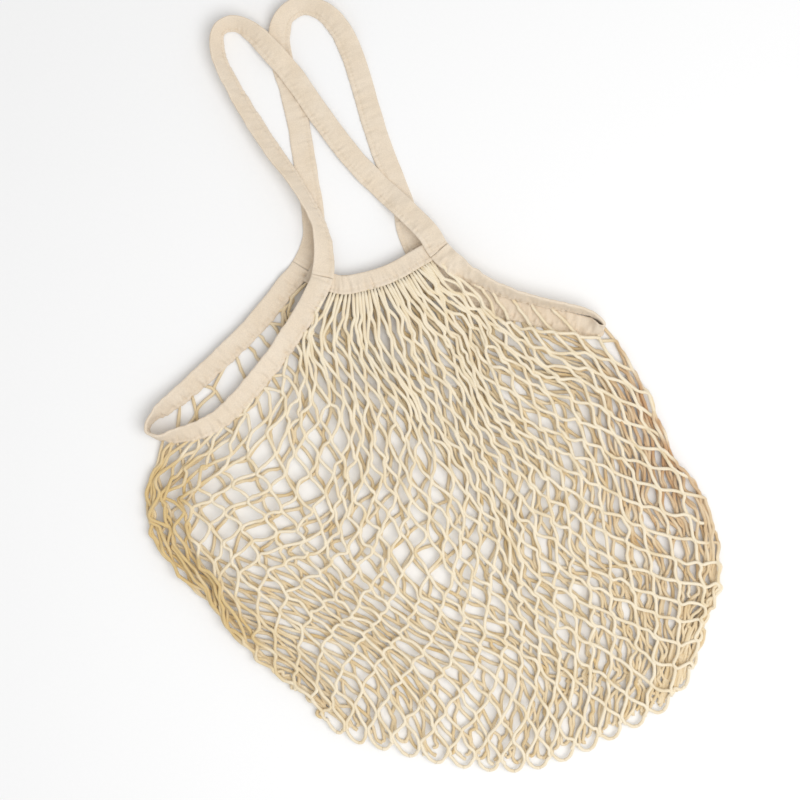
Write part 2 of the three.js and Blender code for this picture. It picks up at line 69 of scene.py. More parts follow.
# The tape is one ring cut at four roots. Each row is a station: across and along as shares of the
# bag's width and of the handles' drop or bag's depth, tilt in degrees, lowest edge in millimetres.
# Some tilts are steeper than in the solids, and the right slit's back leg lies up to 10 mm nearer to
# its front leg, because cloth and slit lie so in the photograph.
FRONT_HANDLE_ROUTE = (
    (-0.074, 0.120, 36, 8),
    (-0.074, 0.215, 54, 3.2),
    (-0.084, 0.295, 56, STRAP_LAYER),
    (-0.099, 0.385, 52, STRAP_LAYER),
    (-0.124, 0.500, 42, STRAP_LAYER),
    (-0.150, 0.640, 42, 0.2),
    (-0.172, 0.780, 48, 0.2),
    (-0.184, 0.900, 54, 0.2),
    (-0.172, 0.985, 62, 0.2),
    (-0.142, 0.995, 56, 0.4),
    (-0.112, 0.945, 36, 3),
    (-0.090, 0.875, 16, 5.5),
    (-0.062, 0.775, 2, STRAP_LAYER + 0.4),
    (-0.024, 0.590, 0, STRAP_LAYER),
    (0.016, 0.415, 0, STRAP_LAYER),
    (0.054, 0.290, 0, STRAP_LAYER),
    (0.091, 0.178, 0, FRONT_TAPE_BASE - 5),
    (0.120, 0.080, 2, FRONT_TAPE_BASE),
)

RIGHT_BINDING_ROUTE = (
    (0.132, 0.006, 4, FRONT_TAPE_BASE),
    (0.152, -0.026, 18, FRONT_TAPE_BASE - 1.5),
    (0.178, -0.056, 48, 6),
    (0.214, -0.088, 64, 3.5),
    (0.260, -0.120, 71, 3.3),
    (0.306, -0.145, 74, 3.3),
    (0.350, -0.167, 77, 2.6),
    (0.383, -0.189, 84, 1.2),
    (0.397, -0.212, 92, 0.4),
    (0.387, -0.219, 124, 0.2),
    (0.354, -0.202, 172, 0),
    (0.308, -0.176, 180, 0),
    (0.262, -0.151, 180, 0),
    (0.216, -0.127, 180, 0),
    (0.174, -0.096, 180, 0),
    (0.140, -0.062, 180, 0),
    (0.112, -0.020, 180, 0),
    (0.091, 0.022, 180, 0),
)

BACK_HANDLE_ROUTE = (
    (0.085, 0.120, 180, 0),
    (0.087, 0.205, 180, 0),
    (0.080, 0.310, 180, 0),
    (0.071, 0.430, 180, 0),
    (0.065, 0.570, 180, 0),
    (0.062, 0.690, 180, 0),
    (0.056, 0.810, 176, 0),
    (0.044, 0.900, 160, 0.2),
    (0.022, 0.968, 140, 0.2),
    (-0.012, 1.003, 132, 0.2),
    (-0.046, 0.985, 140, 0.2),
    (-0.066, 0.925, 164, 0.2),
    (-0.072, 0.830, 180, 0),
    (-0.069, 0.720, 180, 0),
    (-0.068, 0.610, 180, 0),
    (-0.072, 0.485, 180, 0),
    (-0.076, 0.355, 180, 0),
    (-0.080, 0.250, 180, 0),
    (-0.092, 0.150, 180, 0),
)

LEFT_BINDING_ROUTE = (
    (-0.122, 0.038, 180, 0),
    (-0.158, 0.007, 172, 0.2),
    (-0.200, -0.030, 162, 0.2),
    (-0.246, -0.066, 156, 0.2),
    (-0.296, -0.099, 153, 0.2),
    (-0.345, -0.130, 150, 0.2),
    (-0.392, -0.158, 144, 0.2),
    (-0.430, -0.178, 128, 0.2),
    (-0.456, -0.194, 100, 0.2),
    (-0.467, -0.214, 90, 0.4),
    (-0.450, -0.231, 82, 2),
    (-0.418, -0.236, 52, NET_LAYER + 0.4),
    (-0.374, -0.235, 34, NET_LAYER + 0.4),
    (-0.330, -0.222, 29, NET_LAYER + 0.4),
    (-0.286, -0.194, 27, 4.4),
    (-0.245, -0.161, 26, 5.5),
    (-0.207, -0.129, 24, 7),
    (-0.172, -0.094, 20, FRONT_TAPE_BASE - 5.5),
    (-0.140, -0.061, 14, FRONT_TAPE_BASE - 3),
    (-0.112, -0.028, 6, FRONT_TAPE_BASE - 0.2),
    (-0.088, 0.008, 4, FRONT_TAPE_BASE),
)

# The mouth bands' middle lines from the left, across and along as shares of the bag's sizes
FRONT_BAND_ROUTE = (
    (-0.078, -0.006), (-0.054, -0.018), (-0.022, -0.020), (0.014, -0.019),
    (0.050, -0.012), (0.086, 0.000), (0.116, 0.010),
)
BACK_BAND_ROUTE = (
    (-0.114, 0.024), (-0.088, 0.000), (-0.052, -0.016), (-0.012, -0.020),
    (0.028, -0.017), (0.062, -0.008), (0.092, 0.006),
)

# How the net lies. Each line is a level, in meshes down from the mouth, and its places are a mesh
# counted across and that mesh's place in the view, in millimetres right and up from its middle.
NET_LEVELS = (
    (0, ((-6, -59, 91), (-2, -31, 91), (2, -10, 96), (6, 7, 100), (10, 25, 106), (11.2, 31, 124))),
    (1, ((-6, -85, 59), (-4, -61, 51), (-1, -31, 49), (2, 4, 53), (6, 39, 68), (9, 58, 82),
         (12, 66, 107))),
    (2, ((-9.7, -109, 22), (-8, -89, 19), (-6, -61, 16), (-4, -38, 15), (-2, -19, 14), (0, 2, 15),
         (2, 22, 20), (4, 39, 24), (6, 56, 32), (8, 72, 41), (10, 83, 56), (12, 90, 70),
         (14, 97, 87))),
    (4, ((-12, -216, -52), (-10, -136, -50), (-8, -95, -50), (-6, -54, -53), (-4, -26, -57),
         (-2, 0, -57), (0, 31, -53), (2, 56, -50), (4, 76, -42), (6, 94, -33), (8, 112, -20),
         (10, 136, 7), (12, 153, 30), (14, 164, 53), (15.3, 184, 68))),
    (6, ((-12, -214, -102), (-10, -158, -101), (-8, -88, -117), (-6, -56, -118), (-4, -19, -120),
         (-2, 22, -123), (0, 58, -122), (2, 87, -115), (4, 110, -104), (6, 135, -91),
         (8, 163, -69), (10, 185, -46), (12, 207, -23), (14, 225, 7))),
    (8, ((-12, -188, -175), (-10, -158, -164), (-8, -125, -152), (-6, -56, -180), (-4, -14, -184),
         (-2, 37, -192), (0, 78, -191), (2, 111, -182), (4, 139, -170), (6, 171, -150),
         (8, 205, -132), (10, 237, -101), (11.4, 261, -76))),
    (10, ((-10, -136, -242), (-8, -90, -230), (-6, -41, -224), (-4, 13, -239), (-2, 66, -253),
          (0, 109, -248), (2, 142, -238), (4, 175, -222), (6, 212, -204), (8, 252, -185),
          (9.4, 282, -161))),
    (12, ((-8, -72, -293), (-6, -30, -300), (-4, 19, -313), (-2, 68, -322), (0, 113, -324),
          (2, 158, -310), (4, 200, -289), (6, 245, -266), (7.2, 272, -240))),
)

# The net is a tube of strands, two to a mesh, numbered from the left slit's tip over the front to the
# right tip and on round the back. A strand's number gives its share of the way down a slit's leg. It
# is 0 where the strand hangs from a mouth band.
STRANDS = 118
FIRST_STRAND = -32
LAST_ROW = 25
SLIT_ROWS = 9.2
RIGHT_TIP = 30.6
LEG_SHARES = (
    (-31.4, 1), (-24, 0.72), (-12, 0), (22, 0), (30.6, 1), (42, 0.5), (50.6, 0), (74.6, 0), (86.6, 1),
)
MOUTHS = {"front": (-12, 22), "back": (74.6, 50.6)}
# The strand number at which each wall ends, at half meshes down
RIGHT_FOLD = ((9.2, 30.6), (12, 28), (14.6, 24), (17, 22.8), (20, 20), (21, 19), (22.6, 17), (25, 14.4))
LEFT_FOLD = ((9.2, -31.4), (13, -32), (16.5, -27), (19.5, -21), (25, -16.5))
FRONT_LEFT = ((0, -12), (6.6, -24), *LEFT_FOLD)
FRONT_RIGHT = ((0, 22), *RIGHT_FOLD)
BACK_RIGHT = ((0, 50.6), (4.6, 42), *RIGHT_FOLD)
BACK_LEFT = ((0, 74.6), *((row, strand + STRANDS) for row, strand in LEFT_FOLD))
# How many of the back wall's strands are bunched by its sides. The rest lie evenly.
BUNCHED_RIGHT = ((0, 0), (4.6, 5.6), (9.2, 15), (14, 21), (25, 34))
BUNCHED_LEFT = ((0, 0), (9.2, 2.5), (14, 6), (25, 8))
# The half mesh across at which the bag's left outline runs through NET_LEVELS
LEFT_EDGE = ((0, -12), (9.2, -25.4), (14, -26), (17.6, -21.8), (21, -18.6), (25, -16))
# Shares of the bindings' lengths between which each of the net's open edges runs
NET_LEGS = {
    "front": {"left": (0.965, 0.50), "right": (0.012, 0.45)},
    "back": {"left": (0.030, 0.40), "right": (0.955, 0.54)},
}
# What each end of a mouth band leaves free of cords, as a share of its length
BAND_END = 0.03

# Gaps between one tape and the next along the ring, and from tapes and cords to the floor
TAPE_END_GAP = 0.15 * MM
TAPE_FLOOR_GAP = 0.1 * MM
CORD_FLOOR_GAP = 0.05 * MM

# A doubled tape's section, across from 1 at its net edge to -1 and high from -1 to 1: places near its
# ends and on its flat, its superellipse's power, the slot between its layers, and a plain edge
SECTION_ENDS = np.array([0.985, 0.955, 0.91, 0.85])
SECTION_FLAT = np.linspace(0.76, -0.76, 15)
SECTION_POWER = 14
SLOT = np.array([(1.0, 0.34), (0.992, 0.10), (0.86, 0.05), (0.86, -0.05), (0.992, -0.10), (1.0, -0.34)])
PLAIN_EDGE = np.array([(1.0, 0.3), (1.0, -0.3)])
FEWEST_ROWS = 8

# A stitch: places along its half length with its radius there as a share of the thread's, its sides,
# how far its middle stands out of the seam's groove, and where rows end and cross a handle's roots
STITCH_REACH = np.array([-1, -0.62, 0, 0.62, 1.0])
STITCH_BULGE = np.array([0.02, 0.77, 1.02, 0.77, 0.02])
STITCH_SIDES = 6
THREAD_LIFT = 0.12 * MM
SEAM_END = 2 * MM
ROOT_SEAM = 4 * MM

# The light's place from the view's middle: right, up and above the floor, and its size, in metres
KEY_PLACE = (0.65, -0.4, 1.7)
KEY_SIZE = 1.6
FLOOR_REACH = 4.0
SENSOR_WIDTH = 36
# The height above the floor at which the camera sees the view's width
VIEW_HEIGHT = 10 * MM


def linear(hex_code):
    """Turns a hex sRGB colour into linear red, green, blue and an alpha of one."""
    values = [int(hex_code[k:k + 2], 16) / 255 for k in (1, 3, 5)]
    return tuple(v / 12.92 if v <= 0.04045 else ((v + 0.055) / 1.055) ** 2.4 for v in values) + (1.0,)


def smoothstep(t):
    """Eases from 0 to 1: three t squared less two t cubed, with t held between 0 and 1."""
    t = np.clip(t, 0, 1)
    return t * t * (3 - 2 * t)


def lerp(start, end, share):
    """The value that lies this share of the way from start to end."""
    return start + (end - start) * share


def table_at(table, where):
    """A table of places and values, read at these places with straight lines in between."""
    places, values = np.transpose(table)
    return np.interp(where, places, values)


def smooth_noise(seed, *axes, waves=14):
    """A smooth random field of about unit height: the sum of plane cosine waves with seeded
    directions, phases and lengths near one unit of the axes, divided by the root of half their count."""
    chance = np.random.default_rng(seed)
    total = 0
    for _ in range(waves):
        direction = chance.normal(size=len(axes))
        direction *= 2 * math.pi * chance.uniform(0.6, 1.4) / np.linalg.norm(direction)
        total = total + np.cos(sum(d * a for d, a in zip(direction, axes)) + chance.uniform(0, 2 * math.pi))
    return total / math.sqrt(waves / 2)


def bell(*axes):
    """A smooth hump of height one around zero: e to the minus of the axes' squares added up."""
    return np.exp(-sum(axis ** 2 for axis in axes))


def bell_in_view(right, up, middle, size):
    """A bell around a middle of the view, of a half size, each given right and up."""
    return bell((right - middle[0]) / size[0], (up - middle[1]) / size[1])


def noise_pair(seed, *axes):
    """Two smooth random fields of their own, as a last axis of x and y."""
    return np.stack([smooth_noise(seed + n, *axes) for n in (0, 1)], -1)


def unit(vectors):
    """Vectors divided by their lengths."""
    return vectors / np.maximum(np.linalg.norm(vectors, axis=-1, keepdims=True), 1e-9)


def view_to_plan(right, up):
    """A place in the view as a place in the bag's frame: turned by the view's angle about its middle."""
    cos, sin = math.cos(VIEW_TURN), math.sin(VIEW_TURN)
    return np.stack([VIEW_MIDDLE[0] + right * cos - up * sin, VIEW_MIDDLE[1] + right * sin + up * cos], -1)


def plan_to_view(x, y):
    """The reverse of view_to_plan."""
    cos, sin = math.cos(VIEW_TURN), math.sin(VIEW_TURN)
    dx, dy = x - VIEW_MIDDLE[0], y - VIEW_MIDDLE[1]
    return dx * cos + dy * sin, dy * cos - dx * sin


def centripetal(points, closed, steps):
    """Points on a centripetal Catmull-Rom curve, as segments by steps by coordinates.
    From B to C, with A before and D after, each knot gap is the square root of a distance. The
    tangent at B is (B-A)/ab - (C-A)/(ab+bc) + (C-B)/bc times bc, the one at C is its mirror, and the
    curve between them is the cubic that has both tangents."""
    if closed:
        a, b, c, d = (np.roll(points, shift, 0) for shift in (1, 0, -1, -2))
    else:
        padded = np.vstack([2 * points[0] - points[1], points, 2 * points[-1] - points[-2]])
        a, b, c, d = padded[:-3], padded[1:-2], padded[2:-1], padded[3:]
    ab, bc, cd = (np.sqrt(np.linalg.norm(q - p, axis=1))[:, None] for p, q in ((a, b), (b, c), (c, d)))
    leave = ((b - a) / ab - (c - a) / (ab + bc) + (c - b) / bc) * bc
    arrive = ((c - b) / bc - (d - b) / (bc + cd) + (d - c) / cd) * bc
    t = (np.arange(steps) / steps)[None, :, None]
    b, c, leave, arrive = (v[:, None, :] for v in (b, c, leave, arrive))
    squared = (3 * (c - b) - 2 * leave - arrive) * t ** 2
    cubed = (2 * (b - c) + leave + arrive) * t ** 3
    return b + leave * t + squared + cubed


class TapeLine:
    """A line of tape through stations of x, y, tilt and base, open or closed. Tilt and base ease from
    station to station, and the tape's middle is its base plus half of its tilted section's height."""

    STEPS = 40

    def __init__(self, stations, width, closed):
        table = np.asarray(stations, float)
        curve = centripetal(table[:, :2], closed, self.STEPS)
        last = table[:1] if closed else table[-1:]
        following = np.vstack([table, last])
        blend = smoothstep(np.arange(self.STEPS) / self.STEPS)[None, :, None]
        eased = lerp(following[:len(curve), None, 2:], following[1:len(curve) + 1, None, 2:], blend)
        self.points = np.vstack([curve.reshape(-1, 2), last[:, :2]])
        self.eased = np.vstack([eased.reshape(-1, 2), last[:, 2:]])
        steps = np.linalg.norm(np.diff(self.points, axis=0), axis=1)
        self.reach = np.concatenate([[0], np.cumsum(steps)])
        self.length = self.reach[-1]
        self.stations = self.reach[::self.STEPS]
        self.width = width
        self.closed = closed
        around = self.points[:-1] if closed else self.points
        heading = np.gradient(np.vstack([around[-1:], around, around[:1]]), axis=0)[1:-1] if closed \
            else np.gradient(around, axis=0)
        angle = np.unwrap(np.arctan2(heading[:, 1], heading[:, 0]))
        if closed:
            turn = 2 * math.pi * round((angle[-1] - angle[0]) / (2 * math.pi))
            angle = np.append(angle, angle[0] + turn)
        self.angle = angle

    def at(self, distance, thickness):
        """The tape's middle, and its directions ahead, towards the net and out of its face. The last
        two are the level and upright directions turned about the first by the tilt."""
        where = np.mod(distance, self.length) if self.closed else np.clip(distance, 0, self.length)
        angle, tilt, base, x, y = (np.interp(where, self.reach, values)
                                   for values in (self.angle, *self.eased.T, *self.points.T))
        roll = np.radians(tilt)
        zero = np.zeros_like(angle)
        ahead = np.stack([np.cos(angle), np.sin(angle), zero], -1)
        left = np.stack([-np.sin(angle), np.cos(angle), zero], -1)
        up = np.array([0, 0, 1.0])
        netward = -left * np.cos(roll)[..., None] - up * np.sin(roll)[..., None]
        face = up * np.cos(roll)[..., None] - left * np.sin(roll)[..., None]
        height = base + (self.width * np.abs(netward[..., 2]) + thickness * np.abs(face[..., 2])) / 2
        return np.stack([x, y, height], -1), ahead, netward, face


class Tape:
    """A length of a tape line from start to end, with its own thickness."""

    def __init__(self, line, start, end, thickness):
        self.line, self.start, self.length, self.thickness = line, start, end - start, thickness

    def at(self, distance):
        """The line's middle and directions, at distances from this tape's start."""
        return self.line.at(self.start + distance, self.thickness)

    def net_point(self, share, inside):
        """The point this far inside the tape's net edge, at shares of its length."""
        middle, _, netward, _ = self.at(np.asarray(share) * self.length)
        return middle + netward * (self.line.width / 2 - inside)


def stations_of(route, reach):
    """A table's shares as x and y in the bag's frame, its tilts, and its bases in metres."""
    table = np.asarray(route, float)
    x = table[:, 0] * BAG_WIDTH + MOUTH_MIDDLE[0]
    y = table[:, 1] * reach + MOUTH_MIDDLE[1]
    return np.stack([x, y, table[:, 2], table[:, 3] * MM], -1)


def lay_tapes(settings):
    """The ring of tape cut into handles and bindings, and both mouth bands."""
    names = ("front_handle", "right_side_binding", "back_handle", "left_side_binding")
    routes = ((FRONT_HANDLE_ROUTE, HANDLE_DROP), (RIGHT_BINDING_ROUTE, BAG_DEPTH),
              (BACK_HANDLE_ROUTE, HANDLE_DROP), (LEFT_BINDING_ROUTE, BAG_DEPTH))
    tables = [stations_of(route, reach) for route, reach in routes]
    line = TapeLine(np.vstack(tables), settings.tape_width, True)
    firsts = np.concatenate([[0], np.cumsum([len(table) for table in tables])])
    right = line.stations[firsts[1]], line.stations[firsts[2] - 1]
    left = line.stations[firsts[3]], line.stations[firsts[4] - 1]
    spans = ((left[1] - line.length, right[0]), right, (right[1], left[0]), left)
    thick = (settings.handle_thickness, settings.binding_thickness) * 2
    tapes = {name: Tape(line, *span, t) for name, span, t in zip(names, spans, thick)}
    for name, route, base in (("front_mouth_binding", FRONT_BAND_ROUTE, FRONT_BAND_BASE),
                              ("back_mouth_binding", BACK_BAND_ROUTE, BACK_BAND_BASE)):
        table = stations_of([(across, along, 0, base) for across, along in route], BAG_DEPTH)
        band = TapeLine(table, settings.band_width, False)
        tapes[name] = Tape(band, 0, band.length, settings.binding_thickness)
    return tapes


def build_mesh(name, points, faces, uv, caps=(), shades=None):
    """A mesh object from points, an array of quads, their corners' UVs, end faces of any size, and
    named numbers for its points."""
    mesh = bpy.data.meshes.new(name)
    corners = np.concatenate([faces.ravel(), *[np.asarray(cap) for cap in caps]]).astype(np.int32)
    counts = np.concatenate([np.full(len(faces), 4), [len(cap) for cap in caps]]).astype(np.int32)
    mesh.vertices.add(len(points))
    mesh.vertices.foreach_set("co", np.asarray(points, np.float32).ravel())
    mesh.loops.add(len(corners))
    mesh.loops.foreach_set("vertex_index", corners)
    mesh.polygons.add(len(counts))
    mesh.polygons.foreach_set("loop_start", np.concatenate([[0], np.cumsum(counts)[:-1]]).astype(np.int32))
    mesh.polygons.foreach_set("use_smooth", np.ones(len(counts), bool))
    mesh.update(calc_edges=True)
    corner_uv = np.zeros((len(corners), 2), np.float32)
    corner_uv[:faces.size] = uv.reshape(-1, 2)
    mesh.uv_layers.new(name="UVMap").data.foreach_set("uv", corner_uv.ravel())
    for label, values in (shades or {}).items():
        mesh.attributes.new(label, "FLOAT", "POINT").data.foreach_set("value", values.astype(np.float32))
    made = bpy.data.objects.new(name, mesh)
    bpy.context.scene.collection.objects.link(made)
    return made


def loft_faces(rows, columns):
    """Quads of a surface closed around its columns, wound so that a tube's outside faces out."""
    r, c = np.meshgrid(np.arange(rows - 1), np.arange(columns), indexing="ij")
    n = (c + 1) % columns
    return np.stack([r * columns + c, r * columns + n, (r + 1) * columns + n, (r + 1) * columns + c],
                    -1).reshape(-1, 4)


def loft_uv(along, around):
    """Corner UVs for loft_faces: along at each row, and around at each column and at the seam."""
    r, c = np.meshgrid(np.arange(len(along) - 1), np.arange(len(around) - 1), indexing="ij")
    return np.stack([np.stack([along[i], around[j]], -1) for i, j in
                     ((r, c), (r, c + 1), (r + 1, c + 1), (r + 1, c))], -2).reshape(-1, 4, 2)


def tape_section(free_slot):
    """The doubled tape's section as two arrays, across and height. Both faces are flat with
    superellipse ends: height is the root of one less across to its power. A slot runs in between the
    two layers at the net edge, and at the free edge where free_slot is set."""
    across = np.concatenate([SECTION_ENDS, SECTION_FLAT, -SECTION_ENDS[::-1]])
    height = (1 - np.abs(across) ** SECTION_POWER) ** 0.5
    free = SLOT if free_slot else PLAIN_EDGE
    section = np.vstack([
        np.stack([across, height], -1),
        free * (-1, 1),
        np.stack([across[::-1], -height[::-1]], -1),
        SLOT * (1, -1),
    ])
    return section[:, 0], section[:, 1]


class Puckers:
    """The relief of a stitched tape. Out of its face it moves by short cross wrinkles that fade away
    from the seam, and by long soft waves, and the seam pinches both faces towards each other."""

    # Wrinkles and waves: lengths along and across the tape, and shares of the relief's height
    SHORT_ALONG, SHORT_ACROSS, SHORT_SHARE = 4.2 * MM, 16 * MM, 0.55
    BROAD_ALONG, BROAD_ACROSS, BROAD_SHARE = 11 * MM, 25 * MM, 0.45
    # How far the wrinkles reach from the seam, and what is left of them further out
    SEAM_REACH, LEFT_OVER = 6.5 * MM, 0.22
    # What a tape keeps of its relief where it stands on its edge and is drawn tight
    ON_EDGE = 0.35
    PINCH, PINCH_REACH = 0.6 * MM, 0.9 * MM
    # How far the tape's width drifts, as a share, and over what length
    WIDTH_DRIFT, DRIFT_LENGTH = 0.012, 30 * MM

    def __init__(self, seed, depth, seam):
        self.seed, self.depth, self.seam = seed, depth, seam

    def wave(self, along, across, face):
        """Height of the whole tape at places along and across it. The z of its face is near 0 where
        the tape stands on its edge."""
        short = smooth_noise(self.seed, along / self.SHORT_ALONG, across / self.SHORT_ACROSS)
        broad = smooth_noise(self.seed + 1, along / self.BROAD_ALONG, across / self.BROAD_ACROSS)
        fade = bell((across - self.seam) / self.SEAM_REACH) + self.LEFT_OVER
        relief = self.SHORT_SHARE * short * fade + self.BROAD_SHARE * broad
        return self.depth * lerp(self.ON_EDGE, 1, np.abs(face[..., 2])) * relief

    def pinch(self, across):
        """How far the seam pulls each face inwards."""
        return self.PINCH * bell((across - self.seam) / self.PINCH_REACH)

    def breadth(self, along):
        """The tape's width at places along it, as a share of its plain width."""
        return 1 + self.WIDTH_DRIFT * smooth_noise(self.seed + 2, along / self.DRIFT_LENGTH)


def tape_points(tape, puckers, along, across, height):
    """Points of the tape's surface: its middle, plus across times half its width towards the net,
    plus height times half its thickness out of its face, moved by the puckers."""
    middle, _, netward, face = tape.at(along)
    beside = across[None, :] * (tape.line.width / 2) * puckers.breadth(along)[:, None]
    lift = puckers.wave(along[:, None], beside, face[:, None]) - height * puckers.pinch(beside)
    out = height[None, :] * tape.thickness / 2 + lift
    points = middle[:, None] + beside[..., None] * netward[:, None] + out[..., None] * face[:, None]
    points[..., 2] = np.maximum(points[..., 2], TAPE_FLOOR_GAP)
    return points


def tape_piece(name, tape, puckers, step, free_slot):
    """One tape as a closed surface: its section carried along its line in even steps."""
    rows = max(FEWEST_ROWS, int(tape.length / step))
    along = np.linspace(TAPE_END_GAP, tape.length - TAPE_END_GAP, rows)
    across, height = tape_section(free_slot)
    points = tape_points(tape, puckers, along, across, height)
    columns = len(across)
    spread = np.concatenate([across, across[:1]]) * tape.line.width / 2
    ends = np.arange(columns)
    caps = (ends[::-1], ends + (rows - 1) * columns)
    return build_mesh(name, points.reshape(-1, 3), loft_faces(rows, columns), loft_uv(along, spread), caps)


def stitches(name, tape, puckers, seams, settings):
    """Sewn stitches on both faces of a tape: each is a small ellipsoid of thread that lies on the
    face in the seam's groove. seams holds arrays of places along, across and turn from the seam."""
    around = np.linspace(0, 2 * math.pi, STITCH_SIDES, endpoint=False)
    along, across, turn = (np.tile(values, 2) for values in seams)
    side = np.repeat([1.0, -1.0], len(along) // 2)
    middle, ahead, netward, face = tape.at(along)
    height = side * (tape.thickness / 2 - puckers.pinch(across) + THREAD_LIFT)
    height = height + puckers.wave(along, across, face)
    centre = middle + across[:, None] * netward + height[:, None] * face
    run = ahead * np.cos(turn)[:, None] + netward * np.sin(turn)[:, None]
    beside = netward * np.cos(turn)[:, None] - ahead * np.sin(turn)[:, None]
    places = (STITCH_REACH * settings.stitch_length / 2)[None, :, None, None]
    ring = STITCH_BULGE[:, None] * (settings.thread / 2)
    points = (centre[:, None, None] + places * run[:, None, None]
              + (ring * np.cos(around))[None, ..., None] * beside[:, None, None]
              + (ring * np.sin(around))[None, ..., None] * face[:, None, None])
    points[..., 2] = np.maximum(points[..., 2], CORD_FLOOR_GAP)
    count, rows, columns = len(centre), len(STITCH_REACH), len(around)
    firsts = (np.arange(count) * rows * columns)[:, None, None]
    faces = (loft_faces(rows, columns)[None] + firsts).reshape(-1, 4)
    uv = np.tile(loft_uv(STITCH_REACH, np.linspace(0, 1, columns + 1)), (count, 1, 1))
    return build_mesh(name, points.reshape(-1, 3), faces, uv)


def seam_row(start, end, across, settings):
    """A straight row of stitches along the tape."""
    along = np.arange(start, end, settings.stitch_length + settings.stitch_gap)
    return along, np.full_like(along, across), np.zeros_like(along)


def cross_seam(along, half, settings):
    """A row of stitches across the tape, where a handle is sewn to its binding."""
    across = np.arange(-half, half, settings.stitch_length + settings.stitch_gap)
    return np.full_like(across, along), across, np.full_like(across, math.pi / 2)


def join_seams(*seams):
    """Rows of stitches as one, array by array."""
    return tuple(np.concatenate(parts) for parts in zip(*seams))


class NetMap:
    """Where each mesh of the net lies in plan: a thin plate spline through NET_LEVELS. It is the sum
    of r squared times the log of r over the places, plus a plane, with a little smoothing."""

    DOWN_STRETCH = 1.6
    SMOOTHING = 0.6

    def __init__(self):
        rows = [(across, down * self.DOWN_STRETCH, right * MM, up * MM)
                for down, places in NET_LEVELS for across, right, up in places]
        table = np.array(rows)
        self.knots = table[:, :2]
        count = len(table)
        system = np.zeros((count + 3, count + 3))
        system[:count, :count] = self.kernel(self.knots) + self.SMOOTHING * np.eye(count)
        system[:count, count] = 1
        system[:count, count + 1:] = self.knots
        system[count:, :count] = system[:count, count:].T
        wanted = np.zeros((count + 3, 2))
        wanted[:count] = table[:, 2:]
        self.weights = np.linalg.solve(system, wanted)

    def kernel(self, places):
        """Half of r squared times its log, from each place to each knot."""
        squared = ((places[:, None] - self.knots[None]) ** 2).sum(-1)
        return 0.5 * squared * np.log(np.maximum(squared, 1e-12))

    def at(self, half_across, half_down):
        """Plan places in the bag's frame for half meshes across and down."""
        across, down = np.broadcast_arrays(half_across / 2, half_down / 2)
        places = np.stack([across.ravel(), down.ravel() * self.DOWN_STRETCH], -1)
        count = len(self.knots)
        bent = self.kernel(places) @ self.weights[:count]
        view = bent + self.weights[count] + places @ self.weights[count + 1:]
        return view_to_plan(view[:, 0], view[:, 1]).reshape(across.shape + (2,))


